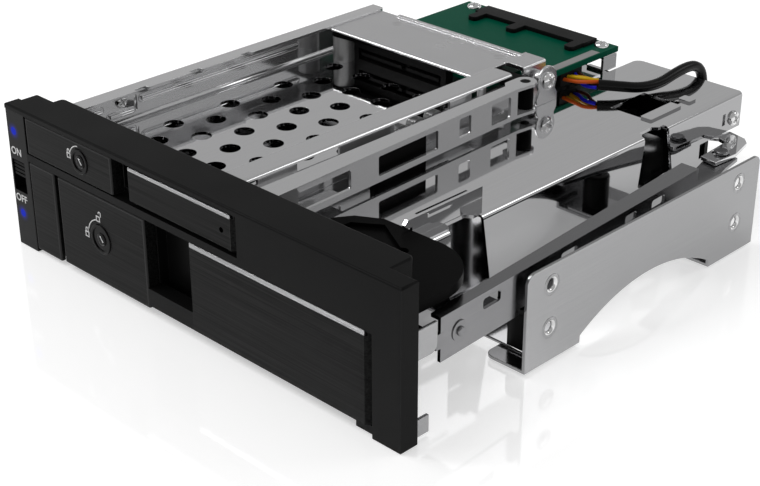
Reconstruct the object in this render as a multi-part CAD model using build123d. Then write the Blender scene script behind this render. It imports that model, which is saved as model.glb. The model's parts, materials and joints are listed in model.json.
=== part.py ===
from build123d import *
import math
import os

# A 5.25 inch bay frame that takes one 2.5 inch drive above and one 3.5 inch drive below, each behind a door.
# Millimetres. X runs to the right seen from the front, Y runs from the front plane to the rear, Z runs up.
# Every piece is made with the front plane at Y = 0 and then moved so that the whole is centred on Y = 0.

# Overall face
face_width = 148.4
face_height = 42.0
face_depth = 13.0
ear_depth = 5.5
strip_side_depth = 9.8
ear_left = 8.9
ear_right = 8.2
body_left = ear_left - face_width / 2
body_right = face_width / 2 - ear_right

# Windows of the face
shelf_bottom = 27.4
shelf_top = 29.5
top_bar_bottom = 40.4
window25_left = body_left - 0.2
window25_right = 20.6
window35_left = -54.0
window35_right = body_right - 0.7
sill_top = 2.0
sill_front = 5.0
face_wall = 2.0

# Indicator strip at the left
strip_right = body_left - 0.4
strip_rise = 1.5
strip_thick = 2.4
strip_wall = 0.6
left_step = 1.4
led_radius = 1.1
led_upper = (3.2 - face_width / 2, face_height - 7.4)
led_lower = (3.4 - face_width / 2, 10.1)
switch_left = 0.9 - face_width / 2
switch_right = switch_left + 5.8
switch_bottom = face_height / 2 - 4.3
knob_height = 4.5
switch_travel = 4.2
knob_play = 0.3
stem_half = 0.9
switch_top = switch_bottom + knob_height + switch_travel + 2 * knob_play
board_front = 6.4
indicator_board_thick = 1.2

# Doors
door_skin = 4.0
door_back = 6.0
door_gap = 0.3
pivot25 = (window25_right - 3.6, 2.6)
pivot35 = (window35_right - 3.4, 3.0)
barrel25_radius = 1.8
barrel35_radius = 2.1
pin25_radius = 0.8
pin35_radius = 1.0
running_gap = 0.05
crank_length = 8.0
crank_radius = 1.0
trim_thick = 0.7
lock_ring_wall = 0.85
lock_proud = 0.3
lock25 = (-41.0, 35.0)
lock35 = (-34.4, 14.9)
lock25_radius = 3.5
lock35_radius = 4.2
cam_gap = 0.3
cam_thick = 1.6
cam_half_width = 1.8
cam_hold = 1.3
block25_left = window25_left + 0.5
block25_right = -27.6
flap25_left = -20.4
flap25_right = window25_right - 0.6
block35_left = window35_left + 1.8
block35_right = -15.5
flap35_left = 2.5
flap35_right = window35_right - 0.4

# Sheet metal
sheet = 0.9
bend_radius = 1.3
roof_top = 29.3
body_rear = 173.0
roof_rear_left = body_rear - 15.0
tongue_left = 8.7
wall_right = 46.7
bay_width35 = 102.4
tray_bottom = 1.5
bracket_face = face_width / 2 - 1.2
wing_reach = bracket_face - 3.0
wing_front = 49.6
wing_rear = 134.0
tray_wall_rear = body_rear - 5.0
bracket_front = 44.0
bracket_rear = 142.0
bracket_top = 27.3
bracket_floor = 0.6
bracket_inner = bracket_face - 12.9
arch_front = 65.4
arch_rear = 121.0
arch_side = 2.0
arch_rise = 9.6

# Side screw holes, the usual pattern of a 5.25 inch bay
side_hole_spacing = 79.25
side_hole_rise = 11.84
side_hole_front = 53.0
side_hole_low = 10.1
side_hole_radius = 1.25
side_sink_radius = 2.7
side_sink_depth = 0.6

# Vent holes of the plate between the bays
vent_radius = 2.9
vent_pitch = 12.1
vent_row = 10.38
vent_front = 30.6

# Upper cage
cage_left = window25_left
cage_right = 6.7
cage_top = top_bar_bottom - 0.4
left_flange = 6.3
right_flange = 7.6
left_wall_rear = 131.0
right_wall_rear = 115.6

# Ejectors
stroke = 7.0
tab_front = 13.5
eye25 = (12.9, 113.8)
eye_hole_radius = 1.5
eye_outer_radius = 3.2
eye_pin_radius = 1.15
hub_radius = 2.4
lever25_pivot = (-56.5, eye25[1] - stroke / 2)
lever25_bottom = cage_top - 2.7
lever25_thick = 1.3
lever35_pivot = (-50.0, body_rear - 13.2)
pin35_place = (54.3, body_rear - 20.5)
lever35_bottom = 17.1
lever35_thick = 1.2
lever_gap = 0.2
post_radius = 2.0
rod_tab_z = (20.0, 24.0)
rod_bottom = 16.4
rivet_place = (21.6, 22.0)
post_top = 12.0
rod_top = 28.0

# Upper electronics
cover_top = cage_top - 0.5
cover_thick = 0.8
cover_left = -59.1
cover_right = -1.0
cover_front = 107.0
cover_rear = 129.5
cover_plate_top = shelf_top + 2.5
link_place = (126.1, 36.1)
link_inner = 10.1
link_thick = 1.0
board_top = 36.0
board_thick = 1.7
board_left = -52.5
board_right = 8.1
board_rear = body_rear - 9.5
board_front_y = 113.2
board_shoulder = 132.7
board_hole_inset = 3.5
header_height = 1.4

# Cable
sleeve_radius = 1.6
wire_radius = 0.5

# Rear board of the wide bay and the screw that holds its corner bracket
rear_board_front = body_rear - 10.0
rear_board_thick = 1.6
socket_depth = 6.5
wall_screw_place = (body_rear - 4.0, 22.1)
screw_hole_radius = 1.3


def span(x, y, z):
    """A rectangular block between two X, two Y and two Z values."""
    size = (x[1] - x[0], y[1] - y[0], z[1] - z[0])
    middle = ((x[0] + x[1]) / 2, (y[0] + y[1]) / 2, (z[0] + z[1]) / 2)
    return Pos(*middle) * Box(*size)


def plan(points, z, radius=0.0):
    """A plate with the given outline seen from above, between two Z values."""
    outline = Polygon(*points, align=None)
    if radius > 0:
        outline = fillet(outline.vertices(), radius)
    return extrude(Plane.XY.offset(z[0]) * outline, z[1] - z[0], dir=(0, 0, 1))


def side(points, x, radius=0.0):
    """A plate with the given (Y, Z) outline, between two X values."""
    outline = Polygon(*points, align=None)
    if radius > 0:
        outline = fillet(outline.vertices(), radius)
    return extrude(Plane.YZ.offset(x[0]) * outline, x[1] - x[0], dir=(1, 0, 0))


def front(points, y, radius=0.0):
    """A plate with the given (X, Z) outline, between two Y values."""
    outline = Polygon(*points, align=None)
    if radius > 0:
        outline = fillet(outline.vertices(), radius)
    return extrude(Plane.XZ.offset(-y[1]) * outline, y[1] - y[0], dir=(0, -1, 0))


def rod_z(x, y, z, radius):
    """An upright cylinder between two Z values."""
    return Pos(x, y, (z[0] + z[1]) / 2) * Cylinder(radius, z[1] - z[0])


def rod_y(x, z, y, radius):
    """A cylinder along Y between two Y values."""
    return Pos(x, (y[0] + y[1]) / 2, z) * Rot(90, 0, 0) * Cylinder(radius, y[1] - y[0])


def rod_x(y, z, x, radius):
    """A cylinder along X between two X values."""
    return Pos((x[0] + x[1]) / 2, y, z) * Rot(0, 90, 0) * Cylinder(radius, x[1] - x[0])


def mirrored(shape):
    """The same piece on the other side of the middle plane."""
    return mirror(shape, Plane.YZ)


# The face and what is fixed to it

half_width = face_width / 2
knob_top = switch_top - knob_play
knob_bottom = knob_top - knob_height
strip_top = face_height - strip_rise
strip_pocket = (-half_width + left_step + strip_wall, strip_right - strip_wall)
lug_x = (pivot35[0] - 3.0, window35_right)
keeper_front = door_back + cam_gap
cam_y = (keeper_front + cam_gap, keeper_front + cam_gap + cam_thick)
keeper_x = (min(lock25[0], lock35[0]) - 3 * cam_half_width, max(lock25[0], lock35[0]) + 3 * cam_half_width)


def bezel_frame():
    left_front = 4.8
    outline = [
        (-half_width, 0),
        (half_width, 0),
        (half_width, ear_depth),
        (body_right, ear_depth),
        (body_right, face_depth),
        (body_left, face_depth),
        (body_left, strip_side_depth),
        (-half_width + left_step, strip_side_depth),
        (-half_width + left_step, left_front),
        (-half_width, left_front),
    ]
    body = plan(outline, (0, face_height))
    rounded = body.edges().filter_by(Axis.Z).filter_by_position(Axis.Y, face_depth - 0.1, face_depth + 0.1)
    body = fillet(rounded, 1.5)
    top_edges = body.faces().sort_by(Axis.Z)[-1].edges()
    body = fillet(top_edges, 0.6)
    body -= span((window25_left, window25_right), (-1, face_depth + 1), (shelf_top, top_bar_bottom))
    body -= span((window35_left, window35_right), (-1, face_depth + 1), (sill_top, shelf_bottom))
    body -= span((body_left, window35_right), (-1, sill_front), (-1, sill_top + 0.1))
    body -= span((body_left, window35_left), (-1, 1.5), (sill_top, shelf_bottom))
    # Pocket behind the plain block beside the upper door, open to the rear, with a slot for the hinge cover
    pocket_left = window25_right + face_wall
    pocket_right = body_right - face_wall
    body -= span((pocket_left, pocket_right), (3, face_depth + 1), (shelf_top, top_bar_bottom - 0.4))
    body -= span((pocket_left, body_right + 1), (7.5, face_depth + 1), (shelf_top, cover_plate_top + 0.2))
    # Pocket behind the strip for the switch and the lights
    body -= span((-half_width - 1, strip_right), (-1, strip_thick), (-1, strip_top))
    pocket_z = (3, strip_top - 1.5)
    body -= span((-half_width + 0.8, strip_right - strip_wall), (strip_thick - 1, left_front - 0.8), pocket_z)
    body -= span(strip_pocket, (strip_thick - 1, strip_side_depth - 1.2), pocket_z)
    # Hollow rear of the ear and the slot that the pull rod's front tab slides in
    body -= span((window35_right + face_wall, half_width - face_wall), (face_wall, ear_depth + 1), (3, 26))
    body -= span((window35_right - 1, body_right + 1), (6.0, face_depth + 1), (rod_tab_z[0] - 0.6, rod_tab_z[1] + 0.6))
    # Lower lug of the wide door's hinge, and the pin seats
    body += span(lug_x, (pivot35[1] - 1.8, sill_front), (0, sill_top + 0.2))
    body -= rod_z(*pivot35, (0.6, sill_top + 1), pin35_radius)
    body -= rod_z(*pivot35, (shelf_bottom - 1, shelf_bottom + 1.4), pin35_radius)
    body -= rod_z(*pivot25, (shelf_top - 1.4, shelf_top + 1), pin25_radius)
    body -= rod_z(*pivot25, (top_bar_bottom - 1, top_bar_bottom + 1), pin25_radius)
    # Notch in the shelf's rear edge: both lock cams turn into it and bear on its front wall
    body -= span(keeper_x, (keeper_front, face_depth + 1), (shelf_bottom - 1, shelf_top + 1))
    return body


def indicator_strip():
    strip = span((-half_width, strip_right), (0, strip_thick), (0, strip_top))
    strip = fillet(strip.edges().filter_by(Axis.Z).sort_by(Axis.X)[0:1], 0.5)
    for x, z in (led_upper, led_lower):
        strip -= rod_y(x, z, (-1, strip_thick + 1), led_radius)
    strip -= span((switch_left, switch_right), (-1, strip_thick + 1), (switch_bottom, switch_top))
    return strip


def led_lenses():
    lenses = []
    for x, z in (led_upper, led_lower):
        stem = rod_y(x, z, (0, board_front), led_radius)
        collar = rod_y(x, z, (strip_thick, strip_thick + 0.8), led_radius + 0.5)
        lenses.append(stem + collar)
    return Compound(children=lenses)


def indicator_board():
    rear = board_front + indicator_board_thick
    x = (strip_pocket[0] + 0.3, strip_pocket[1] - 0.3)
    board = span(x, (board_front, rear), (4, strip_top - 2.5))
    ledge = span((x[0] + 1, x[1] - 1), (rear, strip_side_depth - 1.2), (face_height - 6, face_height - 4.4))
    return board + ledge


def switch_housing():
    x = (strip_pocket[0] + 0.1, switch_right - 0.6)
    body = span(x, (strip_thick + 0.1, board_front), (switch_bottom - 0.8, switch_top + 0.8))
    middle = (switch_left + switch_right) / 2
    slot_x = (middle - stem_half - 0.2, middle + stem_half + 0.2)
    return body - span(slot_x, (strip_thick - 1, board_front - 1), (switch_bottom + 0.4, switch_top - 0.1))


def power_switch():
    middle = (switch_left + switch_right) / 2
    knob = span((switch_left + 0.4, switch_right - 0.4), (0.3, strip_thick - 0.2), (knob_bottom, knob_top))
    knob = fillet(knob.edges().filter_by(Axis.X).sort_by(Axis.Y)[0:2], 0.4)
    for step in range(1, 4):
        z = knob_bottom + knob_height * step / 4
        knob -= span((switch_left, switch_right), (0, 0.6), (z - 0.2, z + 0.2))
    stem_x = (middle - stem_half, middle + stem_half)
    stem = span(stem_x, (strip_thick - 0.2, board_front - 2), (knob_bottom + 1, knob_top - 0.5))
    return knob + stem


def side_panel():
    panel = span((body_left + 0.1, window35_left - 0.1), (0, 1.5), (sill_top - 1, shelf_bottom - 0.2))
    return chamfer(panel.faces().sort_by(Axis.Y)[0].edges(), 0.3)


def hinge_cover():
    """Flat black cover with a round right side, a shallow tapered groove and one hole."""
    radius = 16.6
    centre = (window35_right - radius + 3.7, 19.4)
    left = window25_right + 4.1
    front_edge = 8.0
    outline = Polyline(
        (41.3, 35.8),
        (34.2, 35.7),
        (27.6, 31.9),
        (left, 27.5),
        (left, front_edge),
        (centre[0] + radius, front_edge),
        (centre[0] + radius, centre[1]),
    )
    arc = RadiusArc((centre[0] + radius, centre[1]), (centre[0], centre[1] + radius), -radius)
    closing = Line((centre[0], centre[1] + radius), (41.3, 35.8))
    face = make_face(Plane.XY.offset(shelf_top) * (outline + arc + closing))
    plate = extrude(face, cover_plate_top - shelf_top, dir=(0, 0, 1))
    groove = [(29, front_edge - 1), (29.5, 28.7), (36.5, 33.5), (48.5, 27), (48.5, 25), (44, front_edge - 1)]
    plate -= plan(groove, (cover_plate_top - 1.0, cover_plate_top + 1))
    plate -= rod_z(48.9, 26.6, (shelf_top - 1, cover_plate_top + 1), 1.6)
    return plate


def hinge_pin(pivot, radius, z):
    pin = rod_z(*pivot, z, radius)
    return chamfer(pin.edges().filter_by(GeomType.CIRCLE), 0.2)


def bezel_bracket(seat):
    """Steel bracket on the rear of the face, with an upper and a lower tab along the side."""
    x = (window35_right + 2.0, bracket_face)
    flange = span(x, (seat, seat + sheet), (bracket_floor, 28.4))
    flange -= span((x[0] - 1, bracket_face - 2), (seat - 1, seat + 2), (rod_tab_z[0] - 1, rod_tab_z[1] + 1))
    skin = (bracket_face - sheet, bracket_face)
    upper = span(skin, (seat, seat + 7.5), (20.8, 28.4))
    upper = fillet(upper.edges().filter_by(Axis.X).group_by(Axis.Y)[-1].sort_by(Axis.Z)[0], 2.0)
    lower = span(skin, (seat, seat + 5.0), (bracket_floor, 5.2))
    return flange + upper + lower


# Doors: a moulded carrier with the hinge barrel and the crank, faced with a lock block and a flap

def carrier(left, right, z, pivot, barrel, pin, crank_z, recess, lock, lock_radius):
    plate = span((left, right), (door_skin, door_back), z)
    plate += rod_z(*pivot, z, barrel)
    plate += span((pivot[0] - barrel, pivot[0] + barrel), (pivot[1], door_skin + 1), z)
    # Crank arm that draws the slide forward when the door swings open
    tip = pivot[1] + crank_length
    plate += span((pivot[0] - crank_radius, pivot[0] + crank_radius), (door_back - 1, tip), crank_z)
    plate += rod_z(pivot[0], tip, crank_z, crank_radius)
    # Finger recess
    cup_depth = 2.2
    wall = 1.2
    cup_z = (z[0] + 0.4, z[1] - 0.4)
    plate += span((recess[0] - wall, recess[1] + wall), (door_back - 0.5, door_back + cup_depth), cup_z)
    plate -= span(recess, (door_skin - 1, door_back + cup_depth - wall), (z[0] + 1.2, z[1] - 1.0))
    plate -= rod_z(*pivot, (z[0] - 1, z[1] + 1), pin + running_gap)
    plate -= rod_y(lock[0], lock[1], (door_skin - 1, door_back + 1), lock_radius - lock_ring_wall + running_gap)
    return plate


def block(left, right, z, lock, lock_radius):
    body = span((left, right), (0, door_skin), z)
    body = chamfer(body.faces().sort_by(Axis.Y)[0].edges(), 0.3)
    return body - rod_y(lock[0], lock[1], (-1, door_skin + 1), lock_radius)


def flap(left, right, z, trim_height, bevel, pivot, barrel):
    corner = [(left, 0), (right - bevel, 0), (right, bevel), (right, door_skin), (left, door_skin)]
    body = plan(corner, z)
    body -= span((left - 1, right + 1), (-1, trim_thick), (z[1] - trim_height, z[1] + 1))
    # Pocket for the hinge barrel
    around = barrel + 0.2
    groove = Pos(*pivot) * Circle(around) + Pos(pivot[0], pivot[1] + around) * Rectangle(2 * around, 2 * around)
    body -= extrude(Plane.XY.offset(z[0] - 1) * groove, z[1] - z[0] + 2, dir=(0, 0, 1))
    # Hollow back of the moulding
    inner = (z[0] + 1.4, z[1] - trim_height - 1.2)
    body -= span((left + 2, pivot[0] - barrel - 2), (1.8, door_skin + 1), inner)
    return body


def trim(left, right, z):
    return span((left, right), (0, trim_thick), z)


def lock_ring(lock, radius):
    ring = rod_y(lock[0], lock[1], (-lock_proud, door_skin), radius)
    ring = fillet(ring.edges().filter_by(GeomType.CIRCLE).sort_by(Axis.Y)[0], 0.25)
    return ring - rod_y(lock[0], lock[1], (-1, door_skin + 1), radius - lock_ring_wall)


def lock_plug(lock, radius, reach, way):
    """Plug with an upright key slot, and a cam on its rear end that turns into the shelf's notch."""
    plug_radius = radius - lock_ring_wall - running_gap
    body = rod_y(lock[0], lock[1], (0, cam_y[1]), plug_radius)
    body -= span((lock[0] - 0.4, lock[0] + 0.4), (-1, 2.5), (lock[1] - 1.7, lock[1] + 1.7))
    cam_x = sorted((lock[0], lock[0] + way * reach))
    cam = span(cam_x, cam_y, (lock[1] - cam_half_width, lock[1] + cam_half_width))
    tip = cam.edges().filter_by(Axis.Y).sort_by(Axis.X)
    cam = fillet(tip[-2:] if way > 0 else tip[0:2], 1.2)
    return body + cam


# Sheet metal of the two cages

wall_inner = wall_right - sheet
left35_inner = wall_inner - bay_width35
tray_top = tray_bottom + sheet
notch_z = (14.0, 18.6)
wall_cut = (wall_inner - 1, wall_right + 1)


def vent_places():
    """Rows of holes across the upper bay, every other row shifted by half a pitch."""
    places = []
    for row in range(8):
        y = vent_front + vent_row * row
        shift = 0.0 if row % 2 == 1 else vent_pitch / 2
        for column in range(5):
            x = -53.9 + shift + vent_pitch * column
            if x < -1.5:
                places.append((x, y))
    return places


def bay_plate():
    """One sheet: the plate between the bays, folded down along the right as the wide bay's wall."""
    low = tray_top
    profile = [
        (cage_left, roof_top),
        (wall_right, roof_top),
        (wall_right, low),
        (wall_inner, low),
        (wall_inner, roof_top - sheet),
        (cage_left, roof_top - sheet),
    ]
    shape = front(profile, (face_depth, body_rear))
    corner = shape.edges().filter_by(Axis.Y)
    outer = corner.filter_by_position(Axis.X, wall_right - 0.01, wall_right + 0.01).sort_by(Axis.Z)[-1]
    shape = fillet(outer, bend_radius)
    # Rear left is shorter, the tongue beside it carries the cable
    shape -= span((cage_left - 1, tongue_left), (roof_rear_left, body_rear + 1), (roof_top - 2, roof_top + 1))
    corner = shape.edges().filter_by(Axis.Z).filter_by_position(Axis.Y, body_rear - 0.01, body_rear + 0.01)
    shape = fillet(corner.sort_by(Axis.X)[0], 2.5)
    shape -= span((26.5, 37.0), (136, 152), (roof_top - 2, roof_top + 1))
    shape -= span((36.0, 38.8), (151, 153.4), (roof_top - 2, roof_top + 1))
    for x, y in vent_places():
        shape -= rod_z(x, y, (roof_top - 2, roof_top + 1), vent_radius)
    shape -= span((33.6, 34.4), (47, 66), (roof_top - 2, roof_top + 1))
    # Cut-outs at the fold, wider in the wall
    front_roof = [(wall_right + 1, 46.4), (42.9, 48), (42.9, 55), (wall_right + 1, 58.6)]
    shape -= plan(front_roof, (roof_top - 3, roof_top + 1))
    shape -= side([(46, 31), (57.6, 31), (61.2, 10), (46, 10)], wall_cut, 0.8)
    rear_roof = [(wall_right + 1, 124.6), (43.4, 127), (43.4, 132.6), (wall_right + 1, 136.6)]
    shape -= plan(rear_roof, (roof_top - 3, roof_top + 1))
    shape -= side([(125.6, 31), (135.8, 31), (139.6, 14.5), (123.2, 14.5)], wall_cut, 0.8)
    # Rear of the wall, open below for the lever, with the screw hole and the slit beside it
    shape -= span(wall_cut, (body_rear - 10, body_rear + 1), (low - 1, notch_z[1]))
    shape -= span(wall_cut, (lever35_pivot[1] - stroke, body_rear - 9), notch_z)
    screw_y, screw_z_middle = wall_screw_place
    shape -= rod_x(screw_y, screw_z_middle, wall_cut, screw_hole_radius)
    shape -= span(wall_cut, (screw_y - 5.4, screw_y - 4.0), (screw_z_middle - 1.1, screw_z_middle + 2.5))
    return shape


def plate_tabs():
    """Two thin pads on the plate beside its rear opening, where the cable passes."""
    pads = []
    for x, y in (((37.2, 41.0), (135.6, 150.3)), ((37.0, 41.0), (154.2, 157.6))):
        pad = span(x, y, (roof_top, roof_top + 0.6))
        pads.append(fillet(pad.edges().filter_by(Axis.Z), 0.5))
    return Compound(children=pads)


def upright_tab():
    """Tab bent up from the front cut-out, with a hooked slot near its top."""
    outline = [(36.6, roof_top), (62, roof_top), (62, 34.7), (35.0, 34.7), (34, 33.7), (34, 32.5), (36.6, 32.5)]
    tab = side(outline, (42.7 - sheet, 42.7))
    tab -= side([(42, 33.0), (51, 33.0), (51, 33.7), (42.7, 33.7), (42.7, 34.2), (42, 34.2)], (41, 43))
    return tab


def base_tray():
    """Floor with the wide bay's left wall and four wings that rest on the feet of the mounting plates."""
    z = (tray_bottom, tray_top)
    tray = span((left35_inner - sheet, wall_right), (face_depth, body_rear), z)
    for y in ((wing_front, arch_front), (arch_rear, wing_rear)):
        wing = span((-wing_reach, wing_reach), y, z)
        tray += fillet(wing.edges().filter_by(Axis.Z), 2.0)
    left = span((left35_inner - sheet, left35_inner), (face_depth, tray_wall_rear), (tray_bottom, roof_top - sheet))
    return tray + left


def cage25_left_wall():
    """Folded wall with a top flange, a pressed rib and edge notches."""
    profile = [
        (cage_left, roof_top),
        (cage_left, cage_top),
        (cage_left + left_flange, cage_top),
        (cage_left + left_flange, cage_top - sheet),
        (cage_left + sheet, cage_top - sheet),
        (cage_left + sheet, roof_top),
    ]
    wall = front(profile, (face_depth, left_wall_rear))
    outer = wall.edges().filter_by(Axis.Y).filter_by_position(Axis.X, cage_left - 0.01, cage_left + 0.01)
    wall = fillet(outer.sort_by(Axis.Z)[-1], bend_radius)
    edge = cage_left + left_flange
    for y in ((33, 37), (52.7, 56.4), (72, 75.4)):
        wall -= span((edge - 1.3, edge + 1), y, (cage_top - 2, cage_top + 1))
    wall -= plan([(edge - 2, left_wall_rear + 1), (edge + 1, left_wall_rear - 2), (edge + 1, left_wall_rear + 1)],
                 (cage_top - 2, cage_top + 1))
    wall -= side([(35.8, 32), (36.8, 32), (36.8, 37.3), (35.8, 37.3)], (cage_left - 1, cage_left + 2))
    # Guide ribs pressed inward, which carry the drive's sides
    inner = cage_left + sheet
    for y, z in (((38.2, 98.0), 34.9), ((27, 35), 32.2), ((16, 24.4), 35.0)):
        rib = span((inner - 0.3, inner + 0.7), y, (z - 0.6, z + 0.6))
        wall += fillet(rib.edges().filter_by(Axis.Y).sort_by(Axis.X)[-2:], 0.4)
    return wall


def cage25_right_wall():
    """Folded wall with a top flange toward the bay and a row of windows."""
    profile = [
        (cage_right, roof_top),
        (cage_right, cage_top),
        (cage_right - right_flange, cage_top),
        (cage_right - right_flange, cage_top - sheet),
        (cage_right - sheet, cage_top - sheet),
        (cage_right - sheet, roof_top),
    ]
    wall = front(profile, (face_depth + 1, right_wall_rear))
    outer = wall.edges().filter_by(Axis.Y).filter_by_position(Axis.X, cage_right - 0.01, cage_right + 0.01)
    wall = fillet(outer.sort_by(Axis.Z)[-1], bend_radius)
    cut_x = (cage_right - 2, cage_right + 1)
    windows = (
        ((13, 19.3), 2.4),
        ((32.5, 47.4), 3.5),
        ((67.5, 89.3), 3.3),
        ((98.2, 101.3), 3.0),
        ((104.3, right_wall_rear + 1), 3.0),
    )
    for y, drop in windows:
        wall -= span(cut_x, y, (cage_top - drop, cage_top - sheet))
    wall -= rod_x(31.8, 34.0, cut_x, 2.2)
    tips = wall.edges().filter_by(Axis.Z).filter_by_position(
        Axis.X, cage_right - right_flange - 0.01, cage_right - right_flange + 0.01)
    return fillet(tips, 2.0)


def bearing_rollers():
    """Small rollers on the inside of the right wall, seen through its window."""
    rollers = []
    for y in (71.5, 78.4, 85.3):
        stem = rod_x(y, 34.9, (cage_right - sheet - 1.2, cage_right - sheet), 0.9)
        wheel = rod_x(y, 34.9, (cage_right - sheet - 3.2, cage_right - sheet - 0.3), 2.4)
        rollers.append(wheel + stem)
    return Compound(children=rollers)


# Upper ejector

bar_low = (roof_top + 1.9, roof_top + 1.9 + sheet)


def bar_edge(y):
    """X of the slider bar's outer edge: the bar stands about two degrees off the bay's line."""
    return 18.7 - 3.3 * (y - 15) / 93


def slider_bar():
    front_y = tab_front
    rear_y = 107.7
    inner = 11.5
    tip = (eye25[0] - eye_outer_radius, eye25[0] + eye_outer_radius)
    top = [
        (inner + 0.6, front_y),
        (bar_edge(front_y), front_y),
        (bar_edge(rear_y), rear_y),
        (tip[1], eye25[1]),
        (tip[0], eye25[1]),
        (tip[0], rear_y + 1),
        (inner, rear_y - 1),
    ]
    upper = (cage_top - sheet, cage_top)
    flange = plan(top, upper) + rod_z(*eye25, upper, eye_outer_radius)
    web = plan(
        [
            (bar_edge(front_y) - sheet, front_y),
            (bar_edge(front_y), front_y),
            (bar_edge(rear_y), rear_y),
            (bar_edge(rear_y) - sheet, rear_y),
        ],
        (bar_low[0], cage_top),
    )
    low = bar_low
    foot = plan([(inner + 1, front_y + 2), (bar_edge(front_y), front_y + 2), (bar_edge(38), 38), (inner + 1, 38)], low)
    tail = plan([(inner, 92), (bar_edge(92), 92), (bar_edge(rear_y), rear_y), (tip[1], eye25[1]), (tip[0], eye25[1]),
                 (tip[0], rear_y + 1), (inner, rear_y - 1)], low)
    tail += rod_z(*eye25, low, eye_outer_radius)
    shape = flange + web + foot + tail
    for y, low_edge, drop in (((22, 40.5), 3.7, 1.7), ((50.7, 73.9), 3.6, 1.6), ((82.6, 87.5), 3.9, 1.3),
                              ((96.3, 104.7), 3.2, 1.4)):
        window = span((14, 20), y, (roof_top + low_edge, cage_top - drop))
        shape -= fillet(window.edges().filter_by(Axis.X), 0.6)
    shape -= rod_z(*eye25, (bar_low[0] - 1, cage_top + 1), eye_hole_radius)
    # Front tab that the door's crank pulls
    shape += span((14.4, bar_edge(front_y) - 0.2), (front_y, front_y + sheet), (33.4, 36.6))
    return shape


def bar_guide():
    """Black block on the plate that the slider bar straddles."""
    body = plan([(12.4, 52), (bar_edge(52) - 2.2, 52), (bar_edge(72) - 2.2, 72), (12.0, 72)], (roof_top, 38.2))
    return fillet(body.edges().filter_by(Axis.Z), 0.8)


def ejector_lever25():
    """Black lever across the rear of the upper bay, with its hub between the bar's two eyes."""
    z = (lever25_bottom, lever25_bottom + lever25_thick)
    outline = [
        (lever25_pivot[0], lever25_pivot[1] - 3.6),
        (-12, 112.0),
        (9.0, 112.4),
        (eye25[0], eye25[1] - hub_radius),
        (eye25[0], eye25[1] + hub_radius),
        (9.8, 119.6),
        (3.0, 119.1),
        (-4.0, 120.3),
        (lever25_pivot[0], lever25_pivot[1] + 3.6),
    ]
    lever = plan(outline, z)
    lever += rod_z(*lever25_pivot, z, 3.6)
    lever += rod_z(*eye25, (bar_low[1] + lever_gap, cage_top - sheet - lever_gap), hub_radius)
    lever += rod_z(*eye25, (bar_low[0], cage_top), eye_pin_radius)
    return lever - rod_z(*lever25_pivot, (z[0] - 1, z[1] + 1), post_radius + running_gap)


def lever_post(pivot, z_floor, lever_z):
    """Shouldered post that a lever turns on."""
    post = rod_z(*pivot, (z_floor, lever_z[0]), post_radius + 1.4)
    post += rod_z(*pivot, (lever_z[0], lever_z[1] + 0.05), post_radius)
    return post


# Backplane of the upper bay

def backplane_cover():
    """Folded cover over the lever: a leg at the left, a stepped tab bent down at the right, a rib along the rear."""
    z = (cover_top - cover_thick, cover_top)
    tab_right = link_inner - 4.3
    top = span((cover_left, cover_right), (cover_front, cover_rear), z)
    top = fillet(top.edges().filter_by(Axis.X).sort_by(Axis.Y)[0:2].sort_by(Axis.Z)[-1], 0.7)
    rib = span((cover_left + 8, cover_right), (cover_rear - 1.5, cover_rear), (z[0], cover_top + 0.7))
    leg = span((cover_left, cover_left + cover_thick), (119.5, 128), (roof_top, cover_top))
    tab_y = (121.6, cover_rear + 2.0)
    tab = span((cover_right - 1, tab_right), tab_y, (z[0], cover_top + 0.5))
    drop = span((tab_right - cover_thick, tab_right), tab_y, (roof_top, cover_top + 0.5))
    cover = top + rib + leg + tab + drop
    fold = cover.edges().filter_by(Axis.Y).filter_by_position(Axis.X, tab_right - 0.01, tab_right + 0.01)
    cover = fillet(fold.sort_by(Axis.Z)[-1], 0.8)
    for x in (-47, -5.8):
        cover -= Pos(x, 124, cover_top + 2.6) * Sphere(3.1)
    return cover - rod_x(*link_place, (tab_right - 2, tab_right + 1), screw_hole_radius)


def link_plate():
    """Upright plate with a round head that widens toward its foot, held by one screw over a round spacer."""
    y, z = link_place
    face = Polygon((y - 4.6, roof_top), (y + 4.6, roof_top), (y + 5.0, z - 4.4), (y + 3.1, z), (y - 3.1, z),
                   (y - 5.0, z - 4.4), align=None)
    face += Pos(y, z) * Circle(3.3)
    plate = extrude(Plane.YZ.offset(link_inner) * face, link_thick, dir=(1, 0, 0))
    plate += span((link_inner - 2.9, link_inner + link_thick), (y - 4.6, y + 4.6), (roof_top, roof_top + sheet))
    spacer = rod_x(y, z, (link_inner - 4.3, link_inner + link_thick / 2), 3.0)
    plate += spacer
    return plate - rod_x(y, z, (link_inner - 6, link_inner + 3), screw_hole_radius)


def screw_x(y, z, x_face, length, head_radius, direction=1):
    """Pan head screw along X with a cross recess, its head on the face at x_face."""
    head_x = sorted((x_face, x_face + 1.2 * direction))
    shank_x = sorted((x_face - length * direction, x_face))
    head = rod_x(y, z, head_x, head_radius)
    rim = head.edges().filter_by(GeomType.CIRCLE).sort_by(Axis.X)
    head = fillet(rim[-1] if direction > 0 else rim[0], 0.6)
    screw = head + rod_x(y, z, shank_x, 1.2)
    outer = sorted((x_face + 0.6 * direction, x_face + 3 * direction))
    arm = head_radius * 0.55
    screw -= span(outer, (y - arm, y + arm), (z - 0.3, z + 0.3))
    screw -= span(outer, (y - 0.3, y + 0.3), (z - arm, z + arm))
    return screw


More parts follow.
